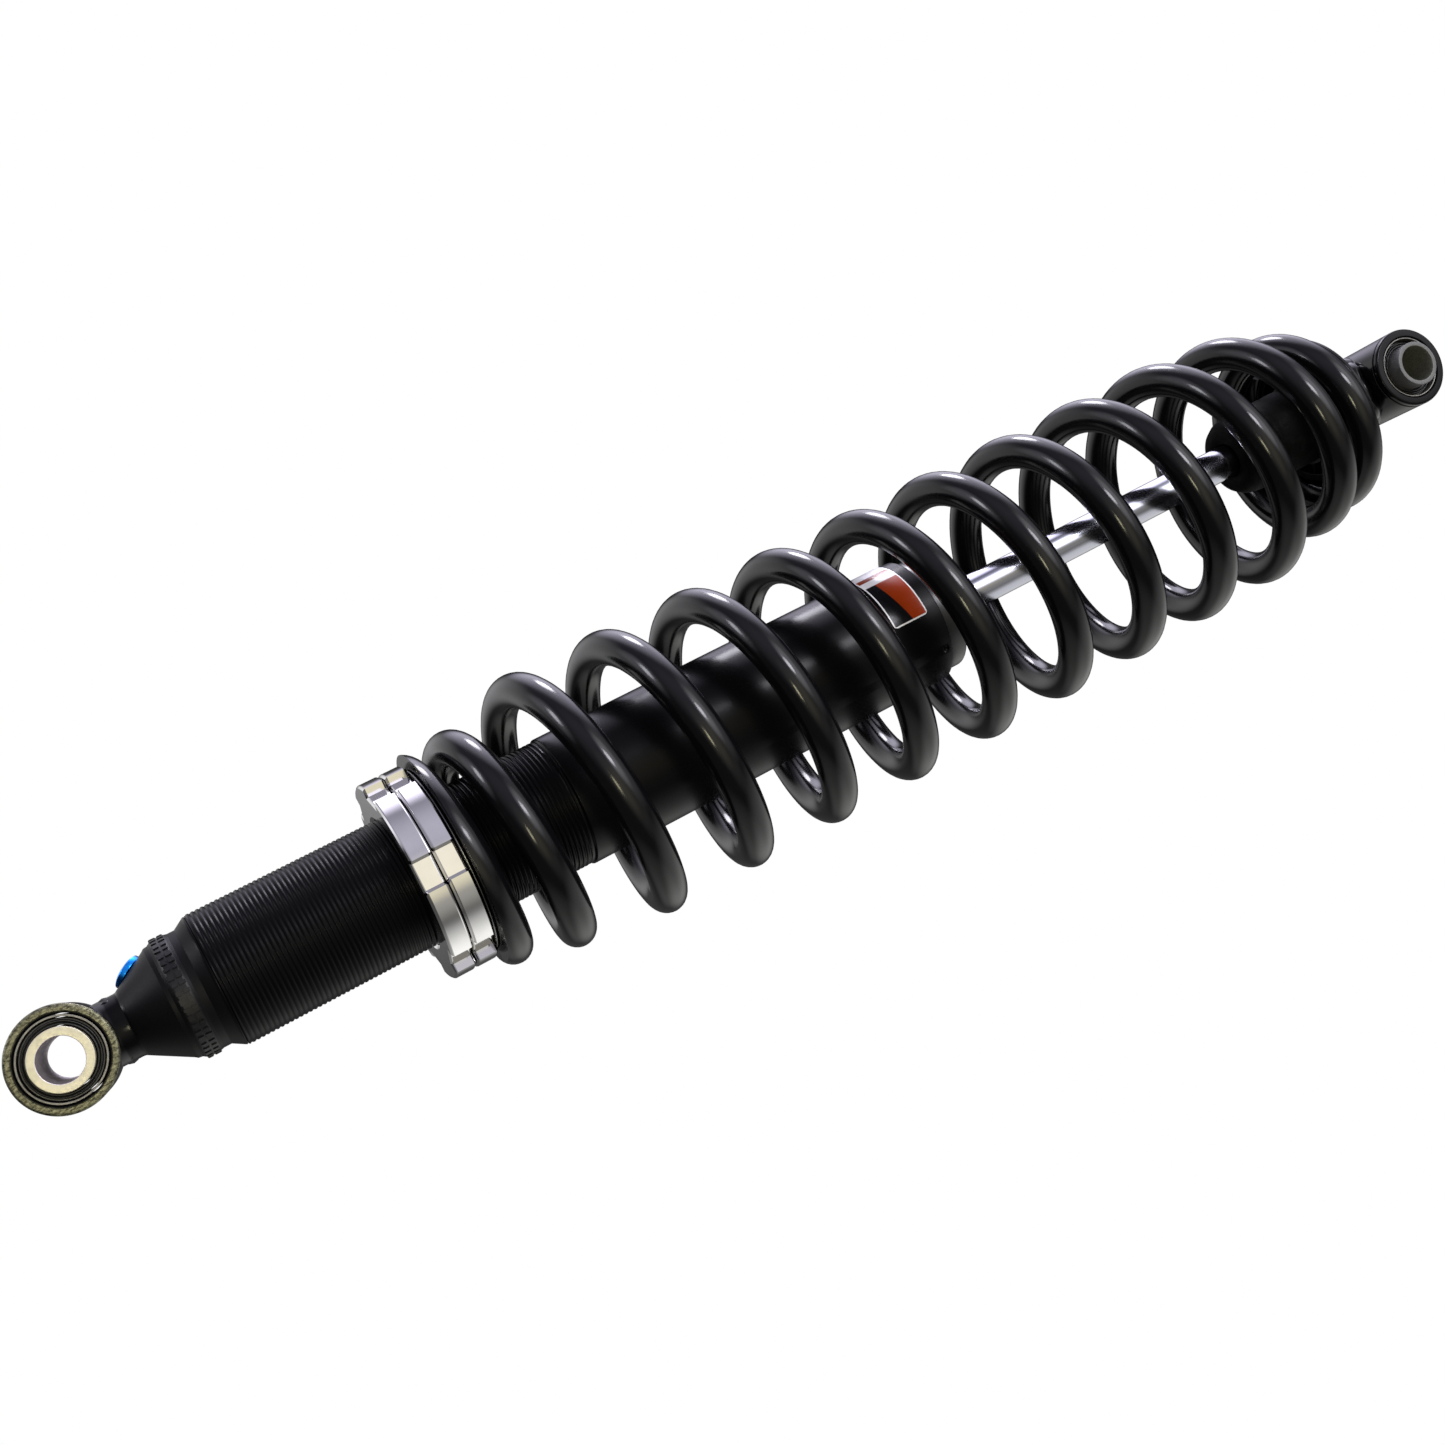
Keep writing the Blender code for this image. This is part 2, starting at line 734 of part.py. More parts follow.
def make_bump_stop():
    """Foam bump stop with a rounded nose and a shallow waist, and the steel cup washer behind it."""
    base = BUMP_STOP_BASE
    top = BUMP_STOP_TOP
    bore = SHAFT_R + GAP
    outline = [
        (0.0138, top),
        (0.0146, top - 0.0010),
        (0.0147, base + 0.0200),
        (0.0144, base + 0.0165),
        (0.0136, base + 0.0145),
        (0.0144, base + 0.0125),
        (0.0146, base + 0.0080),
        (0.0140, base + 0.0040),
        (0.0124, base + 0.0012),
        (0.0108, base),
        (bore + 0.0006, base),
        (bore, base + 0.0008),
        (bore, top),
    ]
    turned_ring("bump_stop", outline, "bumper_foam", SMALL_STEPS)
    cup = tube_outline(0.0158, bore, top + GAP, top + GAP + 0.0012)
    turned_ring("bump_stop_washer", cup, "bare_steel", SMALL_STEPS)


# ---- spring retainer and shaft eye

RETAINER_HUB_LOW = BUMP_STOP_TOP + 2 * GAP + 0.0012
RETAINER_TOP = 0.4840
COLLAR_R = 0.0120
COLLAR_LOW = 0.4790


def make_spring_retainer():
    """Ribbed cup that carries the top of the spring and bears on the shaft eye's collar."""
    outline = [
        (0.0150, RETAINER_TOP),
        (0.0190, UPPER_SEAT + 0.0028),
        (RETAINER_RIM_R - 0.0005, UPPER_SEAT + 0.0028),
        (RETAINER_RIM_R, UPPER_SEAT + 0.0023),
        (RETAINER_RIM_R, UPPER_SEAT + GAP),
        (RETAINER_PILOT_R, UPPER_SEAT + GAP),
        (RETAINER_PILOT_R - 0.0004, RETAINER_HUB_LOW + 0.0010),
        (RETAINER_PILOT_R - 0.0012, RETAINER_HUB_LOW + 0.0002),
        (RETAINER_PILOT_R - 0.0028, RETAINER_HUB_LOW + 0.0002),
        (RETAINER_PILOT_R - 0.0030, UPPER_SEAT - 0.0004),
        (0.0162, UPPER_SEAT - 0.0004),
        (0.0160, RETAINER_HUB_LOW),
        (SHAFT_R + 0.0006, RETAINER_HUB_LOW),
        (SHAFT_R + 0.0006, COLLAR_LOW - GAP),
        (COLLAR_R + GAP, COLLAR_LOW - GAP),
        (COLLAR_R + GAP, RETAINER_TOP),
    ]
    retainer = turned_ring("spring_retainer", outline, "satin_black")
    matrices = []
    for rib in range(RETAINER_RIBS):
        turn = Matrix.Rotation(2 * math.pi * (rib + 0.5) / RETAINER_RIBS, 4, "Z")
        shift = Matrix.Translation((0.0182, 0, UPPER_SEAT - 0.0022))
        size = Matrix.Diagonal((0.0058, 0.0018, 0.0050, 1.0))
        matrices.append(turn @ shift @ size)
    ribs = add_cutter("retainer_ribs", boxes_mesh("retainer_ribs", matrices))
    boolean(retainer, ribs, "UNION")
    return retainer


def make_shaft_eye():
    """Collar and neck welded to the eye tube, with a blind threaded hole for the shaft."""
    neck_r = 0.0095
    outline = [
        (0.0, EYE_TO_EYE),
        (neck_r, EYE_TO_EYE),
        (neck_r, 0.4850),
        (COLLAR_R, 0.4832),
        (COLLAR_R, COLLAR_LOW),
        (0.0, COLLAR_LOW),
    ]
    eye = turned_solid("shaft_eye", outline, "satin_black", SMALL_STEPS)
    barrel_mesh = eye_barrel("shaft_eye_barrel", SHAFT_EYE_R, SHAFT_EYE_WIDTH)
    barrel = add_cutter("shaft_eye_barrel", barrel_mesh, (0, 0, SHAFT_EYE_Z))
    boolean(eye, barrel, "UNION")
    bore_mesh = cylinder_mesh("shaft_eye_bore", SHAFT_EYE_BORE_R, THROUGH, ROUND_STEPS, ALONG_Y)
    bore = add_cutter("shaft_eye_bore", bore_mesh, (0, 0, SHAFT_EYE_Z))
    boolean(eye, bore, "DIFFERENCE")
    depth = 0.4935 - COLLAR_LOW + 0.004
    hole = Matrix.Translation((0, 0, 0.4935 - depth / 2))
    drill = cylinder_mesh("shaft_eye_thread", STACK_BORE_R, depth, SMALL_STEPS, hole)
    boolean(eye, add_cutter("shaft_eye_thread", drill), "DIFFERENCE")
    return eye


clear_scene()
PARTS = new_collection("rear_shock")
CUTTERS = new_collection("cutters")

make_end_cap()
make_gas_valve()
o_ring("end_cap_o_ring", CAP_GROOVE_Z)
eye_bush(
    "body_eye",
    BODY_EYE_Z,
    (0.01225, 0.01125, 0.01095, BODY_SLEEVE_R + GAP, BODY_SLEEVE_R),
    (0.0354, 0.0320, BODY_SLEEVE_LENGTH),
    "zinc_yellow",
)
make_body_tube()
make_label()
make_seal_head()
make_head_seals()
make_floating_piston()
make_preload_ring("lock_ring", LOCK_RING_BASE)
make_preload_ring("preload_ring", PRELOAD_RING_BASE)
make_spring_seat_washer()
make_coil_spring()
make_shaft()
make_piston()
make_piston_stack()
make_bump_stop()
make_spring_retainer()
make_shaft_eye()
eye_bush(
    "shaft_eye",
    SHAFT_EYE_Z,
    (0.01105, 0.01015, 0.00985, SHAFT_SLEEVE_R + GAP, SHAFT_SLEEVE_R),
    (0.0394, 0.0380, SHAFT_SLEEVE_LENGTH),
    "bare_steel",
)
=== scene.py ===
"""Looks of the coil-over rear shock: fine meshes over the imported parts, finishes, light and camera.

Lengths are in metres. Heights run along the shock's axis, +Z, from the body eye to the shaft eye. Where a
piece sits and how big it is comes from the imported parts; the constants are its details.
"""

import json
import math

import bmesh
import bpy
from mathutils import Matrix, Vector, kdtree

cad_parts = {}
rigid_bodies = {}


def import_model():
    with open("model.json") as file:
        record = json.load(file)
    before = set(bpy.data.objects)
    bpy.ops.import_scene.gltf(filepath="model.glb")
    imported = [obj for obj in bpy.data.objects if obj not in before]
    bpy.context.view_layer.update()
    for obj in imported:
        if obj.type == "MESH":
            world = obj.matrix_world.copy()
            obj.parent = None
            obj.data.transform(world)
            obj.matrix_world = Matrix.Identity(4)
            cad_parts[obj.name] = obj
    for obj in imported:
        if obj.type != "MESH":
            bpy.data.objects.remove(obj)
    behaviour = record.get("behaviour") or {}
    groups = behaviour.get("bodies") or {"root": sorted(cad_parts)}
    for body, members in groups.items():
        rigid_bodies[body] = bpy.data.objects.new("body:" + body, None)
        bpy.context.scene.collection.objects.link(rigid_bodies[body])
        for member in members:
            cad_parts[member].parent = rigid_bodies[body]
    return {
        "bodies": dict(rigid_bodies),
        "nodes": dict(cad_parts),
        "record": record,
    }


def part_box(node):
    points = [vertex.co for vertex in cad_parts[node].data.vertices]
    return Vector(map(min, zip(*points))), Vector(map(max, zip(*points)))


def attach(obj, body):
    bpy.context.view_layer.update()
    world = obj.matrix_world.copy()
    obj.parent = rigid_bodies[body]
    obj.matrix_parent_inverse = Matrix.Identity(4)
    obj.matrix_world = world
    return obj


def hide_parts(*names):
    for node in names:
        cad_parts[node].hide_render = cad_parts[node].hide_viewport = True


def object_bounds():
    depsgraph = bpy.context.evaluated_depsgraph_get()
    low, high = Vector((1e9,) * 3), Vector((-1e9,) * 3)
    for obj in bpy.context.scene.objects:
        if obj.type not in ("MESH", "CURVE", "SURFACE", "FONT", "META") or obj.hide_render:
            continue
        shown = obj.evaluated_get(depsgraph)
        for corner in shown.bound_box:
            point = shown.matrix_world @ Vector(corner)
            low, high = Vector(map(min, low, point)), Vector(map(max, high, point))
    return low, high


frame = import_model()
cad_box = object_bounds()

SLOT_OF = {row["node"]: row["material_slot"] for row in frame["record"]["subparts"]}
BODY_OF = {
    node: body for body, members in frame["record"]["behaviour"]["bodies"].items() for node in members
}
ROUND = 128
SMALL = 72
ALONG_Y = Matrix.Rotation(math.radians(90), 4, "X")


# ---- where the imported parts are


def turned(node):
    """Outer radius, lowest and highest point of a part that is turned about the shock's axis."""
    low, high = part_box(node)
    return (high.x - low.x) / 2, low.z, high.z


def eye_part(node):
    """Outer radius, width and centre height of a part that is turned about an eye's axis."""
    low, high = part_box(node)
    return (high.z - low.z) / 2, high.y - low.y, (high.z + low.z) / 2


BODY_EYE_Z = eye_part("body_eye_sleeve")[2]
SHAFT_EYE_Z = eye_part("shaft_eye_sleeve")[2]
SPRING_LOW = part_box("coil_spring")[0].z
SPRING_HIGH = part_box("coil_spring")[1].z
SLEEVE_BORE_R = 0.0065
SHAFT_HOLE_R = 0.0066
LABEL_START = math.radians(269)
LABEL_SPAN = math.radians(118)


# ---- nodes


def feed(tree, socket, value):
    """Link an input to another node's output, or fill in its value. Colours are opaque."""
    if isinstance(value, bpy.types.NodeSocket):
        tree.links.new(value, socket)
    elif isinstance(value, tuple) and len(socket.default_value) == 4:
        socket.default_value = (*value, 1.0)
    else:
        socket.default_value = value


def new_node(tree, kind, inputs, **settings):
    """Make a node and give back its outputs."""
    node = tree.nodes.new(kind)
    for name, value in settings.items():
        setattr(node, name, value)
    for name, value in inputs.items():
        feed(tree, node.inputs[name], value)
    return node.outputs


class Look:
    """A Principled material, with short ways to drive it by nodes."""

    def __init__(self, name, colour, metallic, roughness):
        self.material = bpy.data.materials.new(name)
        self.material.use_nodes = True
        self.tree = self.material.node_tree
        self.shader = self.tree.nodes["Principled BSDF"]
        self.set("Metallic", metallic)
        self.set("Base Color", colour)
        self.set("Roughness", roughness)
        self.place = self.tree.nodes.new("ShaderNodeTexCoord").outputs["Object"]

    def set(self, name, value):
        feed(self.tree, self.shader.inputs[name], value)

    def stretched(self, scale):
        """Object coordinates with each axis scaled, for grain that runs one way."""
        inputs = {"Scale": scale, "Vector": self.place}
        return new_node(self.tree, "ShaderNodeMapping", inputs)["Vector"]

    def noise(self, scale, detail=2.0, vector=None, roughness=0.5):
        inputs = {"Vector": vector or self.place, "Scale": scale, "Detail": detail, "Roughness": roughness}
        return new_node(self.tree, "ShaderNodeTexNoise", inputs)["Fac"]

    def axis(self, name):
        return new_node(self.tree, "ShaderNodeSeparateXYZ", {"Vector": self.place})[name]

    def math(self, operation, first, second=0.0):
        inputs = {0: first, 1: second}
        return new_node(self.tree, "ShaderNodeMath", inputs, operation=operation)["Value"]

    def add(self, first, second):
        return self.math("ADD", first, second)

    def subtract(self, first, second):
        return self.math("SUBTRACT", first, second)

    def multiply(self, first, second):
        return self.math("MULTIPLY", first, second)

    def reach(self, first, second):
        """Distance from a line, by the two coordinates across it."""
        squares = self.add(self.multiply(first, first), self.multiply(second, second))
        return self.math("SQRT", squares)

    def ranged(self, source, low, high, to_low=0.0, to_high=1.0):
        ends = {"From Min": low, "From Max": high, "To Min": to_low, "To Max": to_high}
        return new_node(self.tree, "ShaderNodeMapRange", {"Value": source, **ends})["Result"]

    def spread(self, noise, low, high):
        """A noise drawn out from low to high: it nearly all lies between 0.3 and 0.7."""
        return self.ranged(noise, 0.3, 0.7, low, high)

    def mixed(self, factor, first, second):
        inputs = {0: factor, 6: first, 7: second}
        return new_node(self.tree, "ShaderNodeMix", inputs, data_type="RGBA")[2]

    def bump(self, height, depth, under=None):
        """A height field in metres: depth is how far its full range stands."""
        inputs = {"Distance": depth, "Height": height}
        if under:
            inputs["Normal"] = under
        normal = new_node(self.tree, "ShaderNodeBump", inputs)["Normal"]
        self.set("Normal", normal)
        return normal


# ---- finishes


def darker(colour, share):
    return tuple(share * channel for channel in colour)


def black_paint(name, roughness, peel, grain, shine=0.32):
    """Black coating with orange peel, fine grain, faint dust and an uneven sheen."""
    black = (0.0022, 0.0022, 0.0026)
    look = Look(name, black, 0.0, roughness)
    look.set("Specular IOR Level", shine)
    fine = look.noise(2600.0)
    dust = look.ranged(look.noise(900.0, 5.0, roughness=0.7), 0.66, 0.78)
    look.set("Base Color", look.mixed(dust, black, (0.012, 0.012, 0.012)))
    cloudy = look.spread(look.noise(55.0, 4.0), -0.03, 0.04)
    grainy = look.spread(fine, -0.03, 0.03)
    look.set("Roughness", look.add(look.add(cloudy, grainy), roughness))
    under = look.bump(look.noise(650.0), peel)
    look.bump(fine, grain, under)
    return look.material


def body_paint(name):
    """The damper's black paint: flat on the cap, glossier on the welds, worn off the body eye's faces."""
    black = (0.0020, 0.0020, 0.0024)
    look = Look(name, black, 0.0, 0.4)
    height = look.axis("Z")

    def band(low, high, base=BODY_EYE_Z):
        """One between two heights above a base, with a soft edge."""
        rise = look.ranged(height, base + low, base + low + 0.0006)
        return look.multiply(rise, look.ranged(height, base + high, base + high - 0.0006))

    cap = band(0.0195, 0.0446)
    pads = band(0.0332, 0.0382)
    thread = band(0.0440, 0.1590)
    welds = look.add(band(0.0138, 0.0195), band(-0.0240, -0.0100, SHAFT_EYE_Z))
    body_eye = band(-0.0300, 0.0155)
    shaft_eye = band(-0.0300, 0.0300, SHAFT_EYE_Z)

    depth = look.math("ABSOLUTE", look.axis("Y"))
    reach = look.reach(look.axis("X"), look.subtract(height, BODY_EYE_Z))
    ring = look.multiply(look.ranged(reach, 0.0129, 0.0132), look.ranged(reach, 0.0170, 0.0160))
    wander = look.spread(look.noise(700.0, 4.0, roughness=0.7), -0.0004, 0.0004)
    worn = look.multiply(ring, look.ranged(look.add(depth, wander), 0.0171, 0.0175))
    speckle = look.ranged(look.noise(1500.0, 5.0, look.stretched((1.0, 1.0, 0.45)), 0.75), 0.40, 0.62)
    metal = look.mixed(speckle, (0.02, 0.0195, 0.014), (0.20, 0.195, 0.125))
    look.set("Base Color", look.mixed(worn, black, metal))
    look.set("Metallic", worn)

    tube = look.spread(look.noise(60.0, 4.0), 0.22, 0.26)
    roughness = look.add(look.add(tube, look.multiply(cap, 0.19)), look.multiply(welds, -0.12))
    look.set("Roughness", look.math("MAXIMUM", roughness, look.multiply(worn, 0.46)))
    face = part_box("shaft_eye")[1].y
    dull = look.multiply(look.ranged(depth, face - 0.0008, face - 0.0004), shaft_eye)
    glossy = look.subtract(look.add(pads, look.add(body_eye, shaft_eye)), dull)
    shine = look.subtract(0.075, look.multiply(thread, 0.040))
    look.set("Specular IOR Level", look.add(shine, look.multiply(glossy, 0.14)))

    under = look.bump(look.noise(650.0), 0.0000025)
    scratch = look.multiply(worn, speckle)
    look.bump(look.add(scratch, look.multiply(look.noise(2600.0), 0.1)), 0.00002, under)
    return look.material


def plated(name, colour, roughness, waviness):
    """Bright plating over a machined surface: slight waves, hairline scratches and a faint haze."""
    look = Look(name, colour, 1.0, roughness)
    haze = look.noise(140.0, 3.0)
    hairs = look.ranged(look.noise(90.0, 6.0, look.stretched((60.0, 60.0, 2.0)), 0.7), 0.62, 0.75)
    look.set("Base Color", look.mixed(look.ranged(haze, 0.35, 0.75), colour, darker(colour, 0.93)))
    hazy = look.spread(haze, roughness, roughness * 1.8)
    look.set("Roughness", look.add(hazy, look.multiply(hairs, 0.06)))
    under = look.bump(look.noise(120.0, 1.0), waviness)
    look.bump(hairs, 0.000002, under)
    return look.material


def ground_shaft(name):
    """Hard-chromed and ground rod: very fine rings and long smears."""
    look = Look(name, (0.33, 0.335, 0.38), 1.0, 0.1)
    rings = look.noise(1.0, 3.0, look.stretched((30.0, 30.0, 9000.0)))
    smears = look.noise(40.0, 3.0, look.stretched((1.0, 1.0, 0.25)))
    ringed = look.spread(rings, 0.09, 0.12)
    look.set("Roughness", look.add(ringed, look.ranged(smears, 0.45, 0.7, 0.0, 0.03)))
    return look.material


def machined(name, colour, roughness, marks=0.000004):
    """Turned or ground metal with fine tool marks and slight stains."""
    look = Look(name, colour, 1.0, roughness)
    stain = look.ranged(look.noise(160.0, 4.0), 0.38, 0.72)
    lines = look.noise(2400.0, 3.0)
    look.set("Base Color", look.mixed(stain, colour, darker(colour, 0.72)))
    look.set("Roughness", look.spread(lines, roughness * 0.8, roughness * 1.25))
    look.bump(lines, marks)
    return look.material


def rubber(name, shade, roughness, shine=0.5):
    """Moulded black rubber or foam, slightly bloomed."""
    black = (shade, shade, shade)
    look = Look(name, black, 0.0, roughness)
    look.set("Specular IOR Level", shine)
    bloom = look.ranged(look.noise(260.0, 5.0), 0.5, 0.8)
    pale = shade * 2.2 + 0.002
    look.set("Base Color", look.mixed(bloom, black, (pale, pale, pale * 0.95)))
    grain = look.noise(1500.0, 3.0)
    look.set("Roughness", look.spread(grain, roughness - 0.08, roughness + 0.08))
    look.bump(look.noise(1900.0, 4.0), 0.00002)
    return look.material


def eye_sleeve(name, eye_z, face, wall, metallic, roughness):
    """Inner sleeve of an eye: a machined end face and a duller, mottled bore."""
    look = Look(name, face, metallic, roughness)
    reach = look.reach(look.axis("X"), look.subtract(look.axis("Z"), eye_z))
    bore = look.ranged(reach, SLEEVE_BORE_R + 0.00025, SLEEVE_BORE_R + 0.00010)
    stain = look.ranged(look.noise(520.0, 5.0), 0.50, 0.72)
    clean = look.mixed(stain, face, darker(face, 0.86))
    blotch = look.ranged(look.noise(1500.0, 5.0, roughness=0.7), 0.35, 0.65)
    mottle = look.mixed(blotch, wall, darker(wall, 0.5))
    look.set("Base Color", look.mixed(bore, clean, mottle))
    grain = look.noise(1400.0, 3.0)
    look.set("Roughness", look.spread(grain, roughness - 0.06, roughness + 0.06))
    look.bump(look.noise(1100.0, 3.0), 0.000012)
    return look.material


def label_foil(name):
    """Printed foil: silver edge and end panel, an orange sweep and a black field, with nothing written."""
    silver = (0.70, 0.70, 0.72)
    look = Look(name, silver, 0.0, 0.22)
    look.set("Specular IOR Level", 0.28)
    low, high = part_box("body_label")
    height = look.subtract(look.axis("Z"), low.z)
    size = high.z - low.z
    backwards = [look.multiply(look.axis(axis), -1.0) for axis in "YX"]
    turn = look.subtract(LABEL_START - math.pi, look.math("ARCTAN2", *backwards))

    sweep = look.math("SINE", look.multiply(turn, 1.5))
    edge = look.subtract(0.0075, look.multiply(sweep, 0.0035))
    above = look.ranged(look.subtract(height, edge), -0.00008, 0.00008)
    ink = look.noise(2200.0, 3.0)
    orange = look.mixed(ink, (0.30, 0.032, 0.002), (0.235, 0.024, 0.001))
    field = look.mixed(above, (0.0030, 0.0030, 0.0040), orange)

    stripe = look.multiply(look.ranged(turn, 0.99, 0.995), look.ranged(turn, 1.115, 1.11))
    panel = look.mixed(stripe, (0.74, 0.74, 0.76), (0.22, 0.030, 0.006))
    field = look.mixed(look.ranged(turn, 0.83, 0.84), field, panel)

    low_rim = look.ranged(height, 0.00050, 0.00044)
    high_rim = look.ranged(height, size - 0.00050, size - 0.00044)
    rims = look.math("MAXIMUM", low_rim, high_rim)
    rims = look.math("MAXIMUM", rims, look.ranged(turn, 0.026, 0.023))
    look.set("Base Color", look.mixed(rims, field, silver))
    look.set("Roughness", look.spread(ink, 0.18, 0.28))
    look.bump(look.noise(500.0), 0.000006)
    return look.material


def plastic(name, colour, roughness):
    """Moulded plastic with a fine grain."""
    look = Look(name, colour, 0.0, roughness)
    grain = look.noise(1600.0, 4.0)
    look.set("Base Color", look.mixed(look.ranged(grain, 0.35, 0.7), colour, darker(colour, 0.7)))
    look.bump(grain, 0.000008)
    return look.material


BODY_SLEEVE_COLOURS = ((0.41, 0.385, 0.30), (0.72, 0.67, 0.69))
SHAFT_SLEEVE_COLOURS = ((0.085, 0.085, 0.085), (0.16, 0.16, 0.13))
LOOKS = {
    "body_paint": body_paint("satin_black"),
    "retainer_paint": black_paint("retainer_black", 0.42, 0.0000035, 0.0000016, 0.14),
    "head": black_paint("head_black", 0.28, 0.000002, 0.000001),
    "spring_paint": black_paint("spring_black", 0.15, 0.000005, 0.0000014, 0.225),
    "ring_chrome": plated("ring_chrome", (0.56, 0.555, 0.55), 0.06, 0.000006),
    "shaft_chrome": ground_shaft("shaft_chrome"),
    "bush_shell": machined("bush_shell", (0.17, 0.165, 0.15), 0.50, 0.000002),
    "bush_rubber": rubber("bush_rubber", 0.004, 0.42),
    "body_sleeve": eye_sleeve("pale_zinc", BODY_EYE_Z, *BODY_SLEEVE_COLOURS, 1.0, 0.48),
    "shaft_sleeve": eye_sleeve("sintered_steel", SHAFT_EYE_Z, *SHAFT_SLEEVE_COLOURS, 0.35, 0.55),
    "valve_cap": machined("blue_anodised", (0.012, 0.22, 0.72), 0.24),
    "bronze": machined("bearing_bronze", (0.62, 0.42, 0.20), 0.34),
    "seals": rubber("nitrile", 0.010, 0.45),
    "label": label_foil("label_foil"),
    "alloy": machined("machined_alloy", (0.74, 0.75, 0.77), 0.30),
    "bearing_band": plastic("bearing_band", (0.13, 0.11, 0.09), 0.45),
    "washer_steel": machined("washer_steel", (0.20, 0.20, 0.20), 0.34),
    "dark_steel": black_paint("dark_steel", 0.34, 0.000003, 0.0000015),
    "bump_foam": rubber("bump_foam", 0.0020, 0.62, 0.04),
}


# ---- shapes


def polar(radius, angle, height):
    return (radius * math.cos(angle), radius * math.sin(angle), height)


def mesh_from(name, build):
    """A mesh that build(bm) fills in, with its faces turned outwards."""
    mesh = bpy.data.meshes.new(name)
    bm = bmesh.new()
    build(bm)
    bmesh.ops.recalc_face_normals(bm, faces=bm.faces)
    bm.to_mesh(mesh)
    bm.free()
    return mesh


def shaded(mesh, degrees=38.0):
    mesh.shade_smooth()
    mesh.set_sharp_from_angle(angle=math.radians(degrees))
    return mesh


def rounded(outline, radius, steps=4, closed=True):
    """The outline with a small curve at each corner. An open outline keeps its two ends."""
    made = []
    count = len(outline)
    for index, point in enumerate(outline):
        if not closed and index in (0, count - 1):
            made.append(tuple(point))
            continue
        corner = Vector(point)
        before = Vector(outline[index - 1]) - corner
        after = Vector(outline[(index + 1) % count]) - corner
        bend = math.pi - before.angle(after)
        if bend < math.radians(12):
            made.append(tuple(point))
            continue
        reach = min(radius * math.tan(bend / 2), 0.45 * before.length, 0.45 * after.length)
        first = corner + before.normalized() * reach
        last = corner + after.normalized() * reach
        for step in range(steps + 1):
            t = step / steps
            made.append(tuple(first * (1 - t) ** 2 + corner * 2 * t * (1 - t) + last * t * t))
    return made


def add_rows(bm, outline, columns):
    """One loop of vertices for each (radius, height), and one vertex where the radius is nil."""
    rows = []
    for radius, height in outline:
        if radius < 1e-7:
            rows.append([bm.verts.new((0.0, 0.0, height))])
            continue
        angles = [math.tau * column / columns for column in range(columns)]
        rows.append([bm.verts.new(polar(radius, angle, height)) for angle in angles])
    return rows


def bridge(bm, first, second):
    """Faces between two neighbouring loops, either of which may be a single vertex."""
    count = max(len(first), len(second))
    if count == 1:
        return
    for index in range(count):
        after = (index + 1) % count
        turns = ((first, index), (first, after), (second, after), (second, index))
        bm.faces.new(list(dict.fromkeys(loop[turn % len(loop)] for loop, turn in turns)))


def bridge_all(bm, loops, closed=False):
    """Faces between each loop and the next, and back to the first where it's closed."""
    after = loops[1:] + loops[:1] if closed else loops[1:]
    for first, second in zip(loops, after):
        bridge(bm, first, second)


def wire_ring(bm, point, along, radius, sides):
    """Ring of vertices round one point of a wire that winds about the shock's axis."""
    out = Vector((point.x, point.y, 0.0)).normalized()
    out = (out - along * out.dot(along)).normalized()
    side = along.cross(out)
    angles = [math.tau * step / sides for step in range(sides)]
    ways = [out * math.cos(angle) + side * math.sin(angle) for angle in angles]
    return [bm.verts.new(point + way * radius) for way in ways]


def turned_mesh(name, outline, columns=ROUND, closed=True, place=None):
    """An outline of (radius, height) turned about Z, then put in its place."""

    def build(bm):
        bridge_all(bm, add_rows(bm, outline, columns), closed)

    mesh = mesh_from(name, build)
    if place:
        mesh.transform(place)
    return mesh


def tube(outer, bore, low, high):
    return [(outer, high), (outer, low), (bore, low), (bore, high)]


def object_of(name, mesh):
    obj = bpy.data.objects.new(name, mesh)
    bpy.context.scene.collection.objects.link(obj)
    return obj


def cut(mesh, *steps):
    """The mesh after joins and cuts: each step is "UNION" or "DIFFERENCE" and the other mesh."""
    target = object_of("working", mesh)
    others = []
    for operation, other_mesh in steps:
        other = object_of("working_tool", other_mesh)
        modifier = target.modifiers.new(operation, "BOOLEAN")
        modifier.operation = operation
        modifier.object = other
        modifier.solver = "EXACT"
        others.append(other)
    bpy.context.view_layer.update()
    graph = bpy.context.evaluated_depsgraph_get()
    made = bpy.data.meshes.new_from_object(target.evaluated_get(graph))
    for obj in [target, *others]:
        bpy.data.objects.remove(obj, do_unlink=True)
    return made


def add_piece(name, mesh, node, degrees):
    """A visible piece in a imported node's finish that rides on its body."""
    slot = SLOT_OF[node]
    mesh.name = name
    mesh.materials.clear()
    mesh.materials.append(LOOKS[slot])
    obj = object_of(name, shaded(mesh, degrees))
    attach(obj, BODY_OF[node])
    return obj


def refine(node, mesh, degrees=38.0):
    """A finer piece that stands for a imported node."""
    obj = add_piece(node + "_fine", mesh, node, degrees)
    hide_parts(node)
    return obj


def cylinder(radius, length, place, columns=SMALL):
    outline = [(0.0, length / 2), (radius, length / 2), (radius, -length / 2), (0.0, -length / 2)]
    return turned_mesh("tool", outline, columns, closed=False, place=place)


def lifted(height):
    return Matrix.Translation((0.0, 0.0, height))


# ---- coil spring

WIRE_R = 0.00575
COIL_R = 0.03925
LOWER_COIL_R = 0.0310
UPPER_COIL_R = 0.0295
COIL_PITCH = 0.0316
END_PITCH = 0.013
# Height of the wire's centre over the lower seat where turns are counted from
FIRST_STRAND = 0.0010
FIRST_TURN = -0.38
LAST_TURN = 12.5
# Turns of level wire past the last one, ground away to a flat tip
TIP_TURNS = 0.17
# Turns at each end that lie on their seat and take up none of the travel
SEATED_TURNS = 0.45
